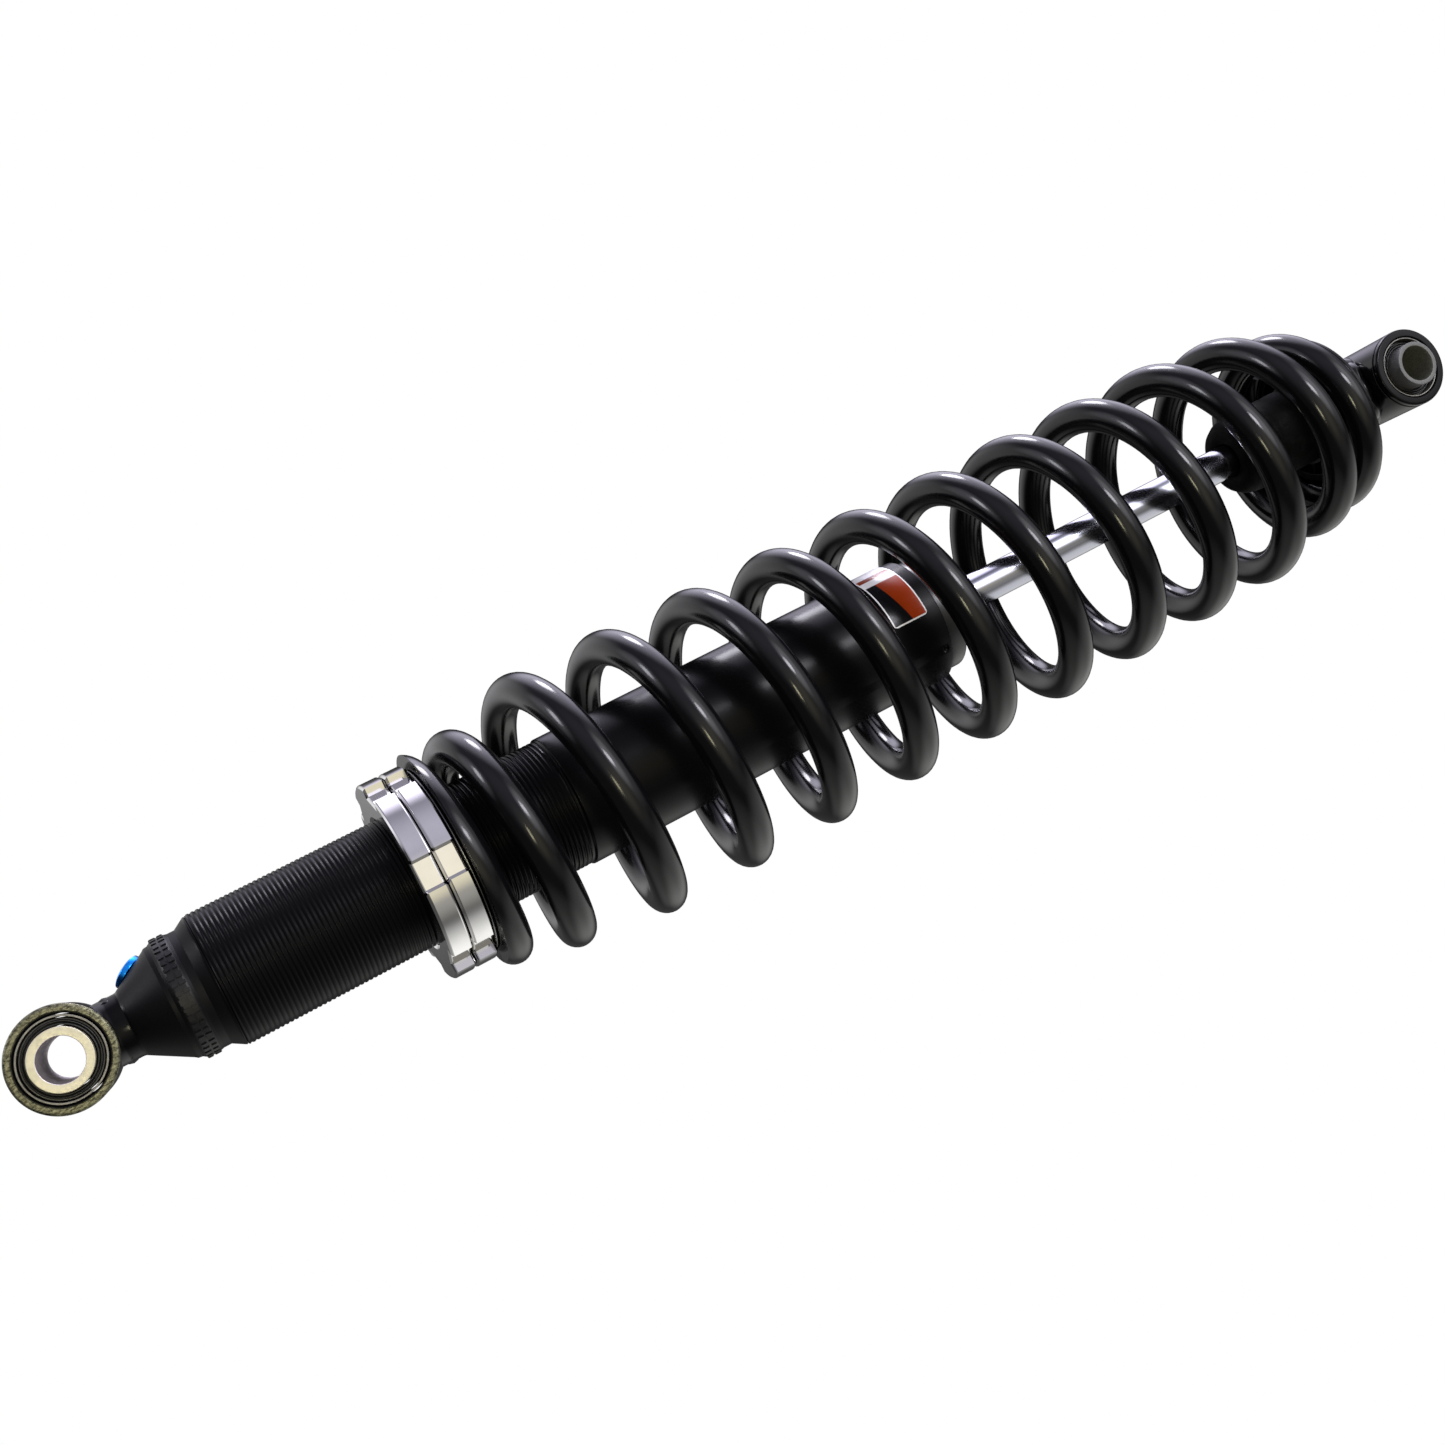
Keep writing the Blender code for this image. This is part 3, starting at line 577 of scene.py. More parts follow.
# Gap left between two coils when the spring is fully closed
CLOSED_GAP = 0.0003
WIRE_SIDES = 32
RINGS_PER_TURN = 96
# The spring's set towards +X at its lower end, middle and upper end
SIDE_SET = (0.0010, 0.0019, 0.0005)


def ease(value):
    clamped = min(max(value, 0.0), 1.0)
    return clamped * clamped * (3 - 2 * clamped)


def coil_pitch(turn):
    opening = max(ease((turn + 0.05) / 2.05), 0.2 * ease(turn / 0.1))
    closing = ease((LAST_TURN - 0.3 - turn) / 2.0)
    return END_PITCH + (COIL_PITCH - END_PITCH) * opening * closing


def coil_radius(turn):
    lower = ease((turn - 0.5) / 1.4)
    upper = ease((12.0 - turn) / 1.8)
    return LOWER_COIL_R + (COIL_R - LOWER_COIL_R) * lower - (COIL_R - UPPER_COIL_R) * (1 - upper)


def side_set(share):
    """How far the spring hangs off the shock's axis towards +X: most in the middle."""
    low, middle, high = SIDE_SET
    return low + (high - low) * share + (middle - (low + high) / 2) * math.sin(math.pi * share)


def coil_line():
    """Centre line of the wire as (point, share of the travel taken up below it)."""
    count = round((LAST_TURN - FIRST_TURN) * RINGS_PER_TURN)
    step = (LAST_TURN - FIRST_TURN) / count
    height = SPRING_LOW + FIRST_STRAND + END_PITCH * FIRST_TURN
    low = height
    closed_up = 0.0
    rows = []
    for index in range(count + 1):
        turn = FIRST_TURN + index * step
        angle = math.tau * turn - math.pi / 2
        rows.append((angle, coil_radius(turn), height, closed_up))
        rise = coil_pitch(turn + step / 2)
        height += rise * step
        if SEATED_TURNS < turn < LAST_TURN - SEATED_TURNS:
            closed_up += max(rise - 2 * WIRE_R - CLOSED_GAP, 0.0) * step
    stretch = (SPRING_HIGH - 0.1 * WIRE_R - low) / (rows[-1][2] - low)
    line = []
    for angle, radius, z, taken in rows:
        z = low + (z - low) * stretch
        x = radius * math.cos(angle) + side_set((z - SPRING_LOW) / (SPRING_HIGH - SPRING_LOW))
        line.append((Vector((x, radius * math.sin(angle), z)), taken / closed_up))
    angle, radius = rows[-1][:2]
    for index in range(round(TIP_TURNS * RINGS_PER_TURN)):
        turned_on = angle + math.tau * (index + 1) / RINGS_PER_TURN
        level = Vector(polar(radius, turned_on, line[count][0].z))
        line.append((level + Vector((side_set(1.0), 0.0, 0.0)), 1.0))
    return line


def make_coil_spring():
    line = coil_line()

    def build(bm):
        loops = []
        for index, (point, _) in enumerate(line):
            ahead = line[min(index + 1, len(line) - 1)][0]
            behind = line[max(index - 1, 0)][0]
            loops.append(wire_ring(bm, point, (ahead - behind).normalized(), WIRE_R, WIRE_SIDES))
        bridge_all(bm, loops)
        bm.faces.new(loops[0])
        bm.faces.new(loops[-1])
        for height, facing in ((SPRING_LOW, -1.0), (SPRING_HIGH, 1.0)):
            everything = [*bm.verts, *bm.edges, *bm.faces]
            ground = bmesh.ops.bisect_plane(
                bm, geom=everything, plane_co=(0, 0, height), plane_no=(0, 0, facing), clear_outer=True
            )
            edges = [item for item in ground["geom_cut"] if isinstance(item, bmesh.types.BMEdge)]
            bmesh.ops.triangle_fill(bm, use_beauty=True, use_dissolve=False, edges=edges)

    mesh = mesh_from("coil_spring_fine", build)
    tree = kdtree.KDTree(len(line))
    for index, (point, _) in enumerate(line):
        tree.insert(point, index)
    tree.balance()
    shares = mesh.attributes.new("share", "FLOAT", "POINT")
    shares.data.foreach_set("value", [line[tree.find(vertex.co)[1]][1] for vertex in mesh.vertices])
    obj = refine("coil_spring", mesh)
    follow = obj.modifiers.new("follow_seats", "NODES")
    follow.node_group = seat_follower("spring_seat", "piston_band")


def seat_follower(lower_body, upper_body):
    """Geometry nodes that slide each ring of wire with the two seats, by its share of the travel."""
    tree = bpy.data.node_groups.new("follow_seats", "GeometryNodeTree")
    tree.interface.new_socket("Geometry", in_out="INPUT", socket_type="NodeSocketGeometry")
    tree.interface.new_socket("Geometry", in_out="OUTPUT", socket_type="NodeSocketGeometry")
    source = tree.nodes.new("NodeGroupInput")
    share = new_node(tree, "GeometryNodeInputNamedAttribute", {"Name": "share"}, data_type="FLOAT")
    shifts = []
    for body in (lower_body, upper_body):
        seat = {"Object": frame["bodies"][body]}
        info = new_node(tree, "GeometryNodeObjectInfo", seat, transform_space="ORIGINAL")
        shifts.append(info["Location"])
    blend = {0: share[0], 4: shifts[0], 5: shifts[1]}
    offset = new_node(tree, "ShaderNodeMix", blend, data_type="VECTOR")[1]
    move = {"Geometry": source.outputs[0], "Offset": offset}
    moved = new_node(tree, "GeometryNodeSetPosition", move)["Geometry"]
    tree.links.new(moved, tree.nodes.new("NodeGroupOutput").inputs[0])
    return tree


# ---- threaded body

THREAD_PITCH = 0.0015
THREAD_DEPTH = 0.00028
THREAD_LENGTH = 0.1141
# How far the thread's crests stand below the plain tube
THREAD_STEP = 0.0005
CYLINDER_R = 0.018
MARK_R = 0.0016
MARK_TURN = math.radians(-54)
MARK_DROP = 0.0027
# Share of the pitch and share of the depth, round one thread
THREAD_FORM = ((0.0, 0.0), (0.24, 0.0), (0.32, 0.10), (0.50, 0.90))
THREAD_FORM += ((0.56, 1.0), (0.66, 1.0), (0.72, 0.90), (0.92, 0.10))


def add_thread(bm, low, high, radius):
    """A right-hand thread between two heights, as rows of vertices that climb one pitch a turn."""
    form = len(THREAD_FORM)
    rows = []
    for index in range(form * (round((high - low) / THREAD_PITCH) + 3)):
        share, depth = THREAD_FORM[index % form]
        start = low + THREAD_PITCH * (index // form + share - 1)
        row = []
        for column in range(ROUND):
            height = min(max(start + THREAD_PITCH * column / ROUND, low), high)
            lead_in = max(THREAD_DEPTH - (height - low), 0.0)
            run_out = max(THREAD_DEPTH - (high - height), 0.0)
            r = radius - max(THREAD_DEPTH * depth, lead_in, run_out)
            row.append(bm.verts.new(polar(r, math.tau * column / ROUND, height)))
        rows.append(row)
    for first, second in zip(rows, rows[1:]):
        for column in range(ROUND - 1):
            bm.faces.new((first[column], first[column + 1], second[column + 1], second[column]))
    for index in range(len(rows) - form - 1):
        first, second = rows[index], rows[index + 1]
        bm.faces.new((first[-1], rows[index + form][0], rows[index + form + 1][0], second[-1]))


def make_body_tube():
    """Tube with its thread cut in and a punch mark by its upper edge."""
    radius, low, high = turned("body_tube")
    thread_r = radius - THREAD_STEP
    thread_high = low + THREAD_LENGTH
    root = thread_r - THREAD_DEPTH
    upper = [(root, thread_high), (root, thread_high + 0.0007), (radius, thread_high + 0.0013)]
    upper += [(radius, high), (CYLINDER_R, high), (CYLINDER_R, low), (root, low)]
    upper = rounded(upper, 0.0004, closed=False)

    def build(bm):
        add_thread(bm, low, thread_high, thread_r)
        bridge_all(bm, add_rows(bm, upper, ROUND))
        bmesh.ops.remove_doubles(bm, verts=bm.verts, dist=1e-7)
        bmesh.ops.dissolve_degenerate(bm, dist=1e-8, edges=bm.edges)

    def dimple(bm):
        mark = Matrix.Translation(polar(1.03 * radius, MARK_TURN, high - MARK_DROP))
        bmesh.ops.create_icosphere(bm, subdivisions=3, radius=MARK_R, matrix=mark)

    mesh = cut(mesh_from("body_tube_fine", build), ("DIFFERENCE", mesh_from("dimple", dimple)))
    refine("body_tube", mesh, degrees=32.0)


# ---- chromed preload rings

RING_BORE_R = 0.0214
NOTCHES = 6
NOTCH_WIDTH = 0.0085
NOTCH_DEPTH = 0.003
RING_CHAMFER = 0.0007
RING_SOFTENING = 0.00012
BORE_CHAMFER = 0.0009
# How much each side of a notch widens towards the rim
NOTCH_FLARE = 0.0009
FLOOR_STEPS = 8
ARC_STEPS = 28


def notched_rim(radius, turn):
    """Rim of a spanner ring seen from above, as (point, angle of the bore vertex it joins)."""
    rim = []
    floor_r = radius - NOTCH_DEPTH
    corner = math.asin((NOTCH_WIDTH / 2 + NOTCH_FLARE) / radius)
    wall = math.atan2(NOTCH_WIDTH / 2, floor_r)
    for notch in range(NOTCHES):
        middle = turn + math.tau * notch / NOTCHES
        out = Vector((math.cos(middle), math.sin(middle)))
        side = Vector((-out.y, out.x))
        for step in range(FLOOR_STEPS + 1):
            across = NOTCH_WIDTH * (step / FLOOR_STEPS - 0.5)
            rim.append((out * floor_r + side * across, middle + math.atan2(across, floor_r)))
        share = math.tau / NOTCHES
        for step in range(ARC_STEPS + 1):
            angle = middle + corner + (share - 2 * corner) * step / ARC_STEPS
            bore = min(max(angle, middle + wall + 0.002), middle + share - wall - 0.002)
            rim.append((Vector((math.cos(angle), math.sin(angle))) * radius, bore))
    return rim


def inset(points, distance):
    """The closed loop of points moved inwards by a distance, mitred at its corners."""
    moved = []
    for index, point in enumerate(points):
        before = (point - points[index - 1]).normalized()
        after = (points[(index + 1) % len(points)] - point).normalized()
        first = Vector((-before.y, before.x))
        second = Vector((-after.y, after.x))
        inward = (first + second).normalized()
        moved.append(point + inward * (distance / max(inward.dot(first), 0.5)))
    return moved


def make_preload_ring(node, turn):
    """Spanner ring with chamfered rim, notches and bore."""
    radius, low, high = turned(node)
    points, angles = zip(*notched_rim(radius, turn))
    chamfered = inset(points, RING_CHAMFER)
    softened = inset(points, RING_SOFTENING)
    levels = [(chamfered, 0.0), (softened, RING_CHAMFER - 0.0002), (points, RING_CHAMFER + 0.0001)]
    edges = [(loop, low + rise) for loop, rise in levels]
    edges += [(loop, high - rise) for loop, rise in reversed(levels)]
    mouth_r = RING_BORE_R + BORE_CHAMFER
    bore = [(mouth_r, high), (RING_BORE_R, high - BORE_CHAMFER)]
    bore += [(RING_BORE_R, low + BORE_CHAMFER), (mouth_r, low)]

    def build(bm):
        rows = [[bm.verts.new((*point, height)) for point in loop] for loop, height in edges]
        for r, height in bore:
            rows.append([bm.verts.new(polar(r, angle, height)) for angle in angles])
        bridge_all(bm, rows, closed=True)

    refine(node, mesh_from(node, build), degrees=20.0)


# ---- end cap with the body eye

CONE_LOW = (0.0100, 0.0192)
CONE_HIGH = (0.0170, 0.0306)
SPIGOT_R = 0.0176
VALVE_HEIGHT = 0.0251
VALVE_TURN = math.radians(165)
EYE_BORE_R = 0.0126
PADS = 46


def valve_frame():
    """Place of the gas valve on the cone, with its Z pointing out of the surface."""
    slope = math.atan2(CONE_HIGH[0] - CONE_LOW[0], CONE_HIGH[1] - CONE_LOW[1])
    share = (VALVE_HEIGHT - CONE_LOW[1]) / (CONE_HIGH[1] - CONE_LOW[1])
    radius = CONE_LOW[0] + share * (CONE_HIGH[0] - CONE_LOW[0])
    out = Matrix.Rotation(math.radians(90) + slope, 4, "Y")
    turn = Matrix.Rotation(VALVE_TURN, 4, "Z")
    return lifted(BODY_EYE_Z) @ turn @ Matrix.Translation((radius, 0.0, VALVE_HEIGHT)) @ out


def pad_boxes(radius, height):
    """Rough cast pads of uneven size round the cap's band: a grip pattern that says nothing."""

    def build(bm):
        for pad in range(PADS):
            turn = Matrix.Rotation(math.tau * pad / PADS, 4, "Z")
            width = 0.0015 + 0.0005 * math.sin(2.4 * pad)
            for part in (-1, 1):
                shift = Matrix.Translation((radius, 0.0, height + part * 0.00115))
                lean = Matrix.Rotation(0.12 * math.sin(3.1 * pad + part), 4, "X")
                length = 0.0018 + 0.0002 * math.sin(1.7 * pad + 2.0 * part)
                size = Matrix.Diagonal((0.0009, width, length, 1.0))
                bmesh.ops.create_cube(bm, size=1.0, matrix=turn @ shift @ lean @ size)
        bmesh.ops.bevel(bm, geom=bm.edges, offset=0.00016, segments=2, affect="EDGES")

    return mesh_from("pads", build)


def eye_barrel(radius, width, centre_z, edge, step=0.0):
    """An eye's outer barrel; step is the depth of the parting line turned near each of its faces."""
    half = width / 2
    line = half - 0.0022
    outline = [(0.0, half), (radius, half), (radius, -half), (0.0, -half)]
    outline = rounded(outline, edge, 5, closed=False)
    if step:
        middle = len(outline) // 2
        groove = [(radius, line + 0.0005), (radius - step, line + 0.0003)]
        groove += [(radius - step, line - 0.0003), (radius, line - 0.0005)]
        outline[middle:middle] = groove + [(r, -height) for r, height in reversed(groove)]
    return turned_mesh("barrel", outline, closed=False, place=lifted(centre_z) @ ALONG_Y)


def eye_bore(bore_r, mouth_r, width, centre_z):
    """Cutter for an eye's bore, with a countersink at each face."""
    half = width / 2
    depth = mouth_r - bore_r
    past = 0.004
    outline = [(0.0, half + past), (mouth_r + past, half + past), (bore_r, half - depth)]
    outline += [(radius, -height) for radius, height in reversed(outline)]
    return turned_mesh("bore", outline, closed=False, place=lifted(centre_z) @ ALONG_Y)


def make_end_cap():
    """Cap with its cone, neck and eye, the pads on its band and the hole for the gas valve."""
    eye_r = BODY_EYE_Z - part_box("body_end_cap")[0].z
    width = eye_part("body_eye_bush_shell")[1] + 0.0006
    tube_r, tube_low, _ = turned("body_tube")
    shoulder = tube_low - BODY_EYE_Z - 0.00005
    thread_r = tube_r - THREAD_STEP
    top = turned("body_end_cap")[2] - BODY_EYE_Z
    outline = [(0.0, top), (SPIGOT_R, top), (SPIGOT_R, shoulder), (thread_r, shoulder)]
    outline += [(0.0184, 0.0412), (0.0184, 0.0389), (0.0188, 0.0374), (0.0188, 0.0340)]
    outline += [(0.0178, 0.0326), (0.0176, 0.0313), CONE_HIGH, CONE_LOW]
    outline += [(0.0099, 0.0184), (0.0099, 0.0050), (0.0, 0.0050)]
    cap = turned_mesh("cap", rounded(outline, 0.0005, closed=False), closed=False, place=lifted(BODY_EYE_Z))
    valve = valve_frame()
    mesh = cut(
        cap,
        ("UNION", eye_barrel(eye_r, width, BODY_EYE_Z, 0.0011)),
        ("UNION", pad_boxes(0.0187, BODY_EYE_Z + 0.0357)),
        ("DIFFERENCE", eye_bore(EYE_BORE_R, 0.0133, width, BODY_EYE_Z)),
        ("DIFFERENCE", cylinder(0.0056, 0.020, valve @ lifted(0.0092))),
        ("DIFFERENCE", cylinder(0.0038, 0.0166, valve @ lifted(0.0013))),
    )
    refine("body_end_cap", mesh, degrees=30.0)


def make_weld(name, node, neck_r, eye_r, eye_z, toward, bead_r, ripples, thin=0.0):
    """Weld bead round a neck where it meets an eye's barrel, with overlapping ripples.

    toward is the side of the eye along Z; thin is how much of the bead is lost in front and behind.
    """
    steps = 240

    def centre(angle):
        x = neck_r * math.cos(angle)
        height = math.sqrt(eye_r**2 - x * x) + 0.8 * bead_r
        return Vector((x, neck_r * math.sin(angle), eye_z + toward * height))

    def build(bm):
        loops = []
        for step in range(steps):
            angle = math.tau * step / steps
            point = centre(angle)
            along = (centre(angle + 0.01) - centre(angle - 0.01)).normalized()
            phase = (ripples * step / steps + 0.08 * math.sin(5 * angle)) % 1.0
            swell = bead_r * (0.82 + 0.20 * math.sin(math.pi * phase) + 0.05 * math.sin(7 * angle + 1.0))
            swell *= 1.0 - thin * math.sin(angle) ** 2
            loops.append(wire_ring(bm, point, along, swell, 12))
        bridge_all(bm, loops, closed=True)

    add_piece(name, mesh_from(name, build), node, 60.0)


def make_gas_valve():
    """Cap of the gas valve, with a hexagon socket, and the core under it."""
    plug = [(0.0, 0.0012), (0.0024, 0.0012), (0.0030, 0.0016), (0.0043, 0.0016), (0.00525, 0.0011)]
    plug += [(0.00525, -0.0005), (0.0035, -0.0005), (0.0035, -0.0067), (0.0, -0.0067)]
    place = valve_frame()
    head = turned_mesh("plug", rounded(plug, 0.00025, closed=False), SMALL, closed=False, place=place)
    socket = cylinder(0.0019, 0.004, place @ lifted(0.0020), columns=6)
    refine("gas_valve_plug", cut(head, ("DIFFERENCE", socket)), degrees=30.0)
    core = [(0.0, -0.0078), (0.0012, -0.0078), (0.0012, -0.0092), (0.0022, -0.0094), (0.0022, -0.0128)]
    core += [(0.0012, -0.0134), (0.0012, -0.0142), (0.0, -0.0142)]
    mesh = turned_mesh("core", rounded(core, 0.0002, closed=False), SMALL, False, place)
    refine("gas_valve_core", mesh)


# ---- eye bushes

# The rubber's end face: share of the way from sleeve to shell, and height over the face
RUBBER_RINGS = ((0.0, 0.0002), (0.22, 0.0004), (0.34, -0.0004), (0.44, -0.0006))
RUBBER_RINGS += ((0.50, 0.0003), (0.60, 0.0003), (0.68, -0.0009), (1.0, -0.0009))


def make_bush(prefix, shell_wall, rubber_step):
    """Steel shell, moulded rubber with raised rings on its ends, and the inner sleeve."""
    shell_r, shell_width, centre = eye_part(prefix + "_bush_shell")
    sleeve_r, sleeve_width, _ = eye_part(prefix + "_sleeve")
    place = lifted(centre) @ ALONG_Y
    half = shell_width / 2
    shell = rounded(tube(shell_r, shell_r - shell_wall, -half, half), 0.00012)
    refine(prefix + "_bush_shell", turned_mesh("shell", shell, place=place))
    outer = shell_r - shell_wall - 0.0003
    inner = sleeve_r + 0.0003
    face = half - rubber_step
    front = [(inner + share * (outer - inner), face + rise) for share, rise in RUBBER_RINGS]
    back = [(radius, -height) for radius, height in reversed(front)]
    ring = rounded(front + back, 0.00025)
    mesh = turned_mesh("rubber", ring, place=place)
    refine(prefix + "_bush_rubber", mesh, degrees=60.0)
    sleeve_half = sleeve_width / 2
    sleeve = rounded(tube(sleeve_r, SLEEVE_BORE_R, -sleeve_half, sleeve_half), 0.00022)
    refine(prefix + "_sleeve", turned_mesh("sleeve", sleeve, place=place))


# ---- label


def make_label():
    """Foil wrapped part of the way round the tube, with rounded corners."""
    low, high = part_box("body_label")
    radius = turned("body_tube")[0] + 0.00012
    columns = 120
    corner = 0.0012
    middle = (low.z + high.z) / 2

    def build(bm):
        for r in (radius, radius + 0.00015):
            rows = []
            for column in range(columns + 1):
                angle = LABEL_START - LABEL_SPAN * column / columns
                end = min(column, columns - column) / columns * LABEL_SPAN * radius
                short = corner - math.sqrt(max(corner**2 - max(corner - end, 0.0) ** 2, 0.0))
                half = (high.z - low.z) / 2 - short
                for step in range(9):
                    rows.append(bm.verts.new(polar(r, angle, middle + half * (step / 4 - 1))))
            for column in range(columns):
                for step in range(8):
                    index = column * 9 + step
                    bm.faces.new((rows[index], rows[index + 1], rows[index + 10], rows[index + 9]))
        loose = [edge for edge in bm.edges if edge.is_boundary]
        bmesh.ops.bridge_loops(bm, edges=loose)

    refine("body_label", mesh_from("label", build))


# ---- seal head, shaft, bump stop, retainer, shaft eye

RIBS = 8


def make_seal_head():
    radius, low, high = turned("seal_head")
    rim = turned("body_tube")[2] + 0.0003
    outline = [(radius, high), (radius, rim), (SPIGOT_R, rim), (SPIGOT_R, low), (0.0079, low)]
    outline += [(0.0079, low + 0.0133), (SHAFT_HOLE_R, low + 0.0133), (SHAFT_HOLE_R, high - 0.0052)]
    outline += [(0.0097, high - 0.0052), (0.0097, high)]
    refine("seal_head", turned_mesh("head", rounded(outline, 0.0006)))


def make_shaft():
    radius, low, high = turned("piston_shaft")
    end_r = 0.005
    shoulder = turned("piston")[2] + 0.0035
    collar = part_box("shaft_eye")[0].z - 0.0008
    outline = [(0.0, high), (end_r, high), (end_r, collar), (radius, collar)]
    outline += [(radius, shoulder), (end_r, shoulder), (end_r, low), (0.0, low)]
    mesh = turned_mesh("shaft", rounded(outline, 0.0004, closed=False), closed=False)
    refine("piston_shaft", mesh)


def make_bump_stop():
    """Foam bumper with a shallow waist, and the washer it sits in."""
    radius, low, high = turned("bump_stop")
    bore = 0.0063
    outer = [(radius, low + 0.0200), (radius - 0.0003, low + 0.0165), (radius - 0.0010, low + 0.0145)]
    outer += [(radius - 0.0003, low + 0.0125), (radius, low + 0.0080), (radius - 0.0006, low + 0.0040)]
    outer += [(radius - 0.0022, low + 0.0012)]
    outline = [(bore, high), (radius - 0.0006, high), (radius, high - 0.0012)]
    outline += rounded(outer, 0.0030, 6, closed=False)
    outline += [(radius - 0.0040, low), (bore + 0.0003, low), (bore, low + 0.0003)]
    refine("bump_stop", turned_mesh("bump", outline), degrees=50.0)
    washer_r, washer_low, washer_high = turned("bump_stop_washer")
    cup = rounded(tube(washer_r, bore, washer_low, washer_high), 0.0004)
    refine("bump_stop_washer", turned_mesh("cup", cup))


def make_retainer():
    """Upper spring seat: a flange, a pilot inside the coils and ribs under the flange."""
    radius, low, high = turned("spring_retainer")
    rim = radius + 0.0015
    seat = SPRING_HIGH + 0.0003
    pilot = 0.0232
    hub = 0.0123
    outline = [(0.0150, high), (0.0190, seat + 0.0025), (rim, seat + 0.0016), (rim, seat), (pilot, seat)]
    outline += [(pilot, low + 0.0002), (pilot - 0.0028, low + 0.0002), (pilot - 0.0030, seat - 0.0007)]
    outline += [(0.0162, seat - 0.0007), (0.0160, low), (SHAFT_HOLE_R, low)]
    outline += [(SHAFT_HOLE_R, low + 0.0082), (hub, low + 0.0082), (hub, high)]
    shell = turned_mesh("retainer", rounded(outline, 0.0006))

    def build(bm):
        size = Matrix.Diagonal((0.0058, 0.0018, 0.0050, 1.0))
        for rib in range(RIBS):
            turn = Matrix.Rotation(math.tau * (rib + 0.5) / RIBS, 4, "Z")
            shift = Matrix.Translation((0.0182, 0.0, seat - 0.0025))
            bmesh.ops.create_cube(bm, size=1.0, matrix=turn @ shift @ size)
        bmesh.ops.bevel(bm, geom=bm.edges, offset=0.0003, segments=2, affect="EDGES")

    mesh = cut(shell, ("UNION", mesh_from("ribs", build)))
    refine("spring_retainer", mesh, degrees=30.0)


def make_shaft_eye():
    """Eye barrel with a parting line near each face, its neck and the collar that takes the shaft."""
    low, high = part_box("shaft_eye")
    width = high.y - low.y
    neck_r = 0.0095
    collar_r = 0.0120
    outline = [(0.0, SHAFT_EYE_Z), (neck_r, SHAFT_EYE_Z), (neck_r, low.z + 0.0060)]
    outline += [(collar_r, low.z + 0.0042), (collar_r, low.z), (0.0, low.z)]
    mesh = cut(
        turned_mesh("neck", rounded(outline, 0.0006, closed=False), closed=False),
        ("UNION", eye_barrel(high.z - SHAFT_EYE_Z, width, SHAFT_EYE_Z, 0.0009, 0.0005)),
        ("DIFFERENCE", eye_bore(0.0114, 0.0117, width, SHAFT_EYE_Z)),
        ("DIFFERENCE", cylinder(0.0053, 0.0182, lifted(low.z + 0.0051))),
    )
    refine("shaft_eye", mesh, degrees=30.0)


def make_washer():
    radius, low, high = turned("spring_seat_washer")
    ring = rounded(tube(radius, 0.0216, low, high), 0.0003)
    refine("spring_seat_washer", turned_mesh("washer", ring))


make_coil_spring()
make_body_tube()
make_preload_ring("lock_ring", math.radians(-89))
make_preload_ring("preload_ring", math.radians(-90))
make_washer()
make_end_cap()
make_weld("body_eye_weld", "body_end_cap", 0.0078, 0.0153, BODY_EYE_Z, 1.0, 0.0026, 20, 0.6)
make_gas_valve()
make_bush("body_eye", 0.0006, 0.0009)
make_label()
make_seal_head()
make_shaft()
make_bump_stop()
make_retainer()
make_shaft_eye()
make_weld("shaft_eye_weld", "shaft_eye", 0.0116, 0.0143, SHAFT_EYE_Z, -1.0, 0.0030, 10)
make_bush("shaft_eye", 0.0004, 0.0016)

for node, obj in frame["nodes"].items():
    obj.data.materials.clear()
    obj.data.materials.append(LOOKS[SLOT_OF[node]])


# ---- camera, light and floor

LENS = 44.25
TILT = math.radians(18.46)
ROLL = math.radians(27.21)
CAMERA_FOOT = Vector((0.0007, -0.541, BODY_EYE_Z + 0.0385))
FORWARD = Vector((0.0, math.cos(TILT), math.sin(TILT)))
ALONG = Vector((0.0, -math.sin(TILT), math.cos(TILT)))
ACROSS = Vector((-1.0, 0.0, 0.0))
RIGHT = ALONG * math.cos(ROLL) - ACROSS * math.sin(ROLL)
UP = ALONG * math.sin(ROLL) + ACROSS * math.cos(ROLL)
CENTRE = Vector((0.0, 0.0, (BODY_EYE_Z + SHAFT_EYE_Z) / 2))

# Scale of every light and glow
STUDIO_LEVEL = 1.55

# Turn, rise, reach and core in degrees, and radiance: full within the core, gone at the reach
GLOWS = (
    (0.0, -90.0, 180.0, 0.0, (0.08, 0.08, 0.08)),
    (-20.0, 80.0, 85.0, 20.0, (0.28, 0.27, 0.34)),
    (-10.0, 25.0, 52.0, 8.0, (0.25, 0.245, 0.29)),
    (40.0, -2.0, 44.0, 5.0, (0.32, 0.31, 0.28)),
    (10.0, -2.0, 36.0, 3.0, (0.36, 0.35, 0.28)),
    (28.0, 2.0, 26.0, 6.0, (0.24, 0.20, 0.08)),
    (170.0, -76.0, 44.0, 5.0, (0.36, 0.36, 0.35)),
    (116.0, -34.0, 52.0, 8.0, (0.85, 0.85, 0.83)),
    (-122.0, 4.0, 42.0, 6.0, (0.78, 0.78, 0.80)),
    (-168.0, 62.0, 42.0, 6.0, (2.2, 2.1, 2.55)),
    (48.0, 38.0, 27.0, 4.0, (2.3, 2.3, 2.45)),
    (68.0, 40.0, 40.0, 4.0, (0.7, 0.7, 0.72)),
    (-76.0, 13.0, 26.0, 3.0, (1.3, 1.3, 1.45)),
)
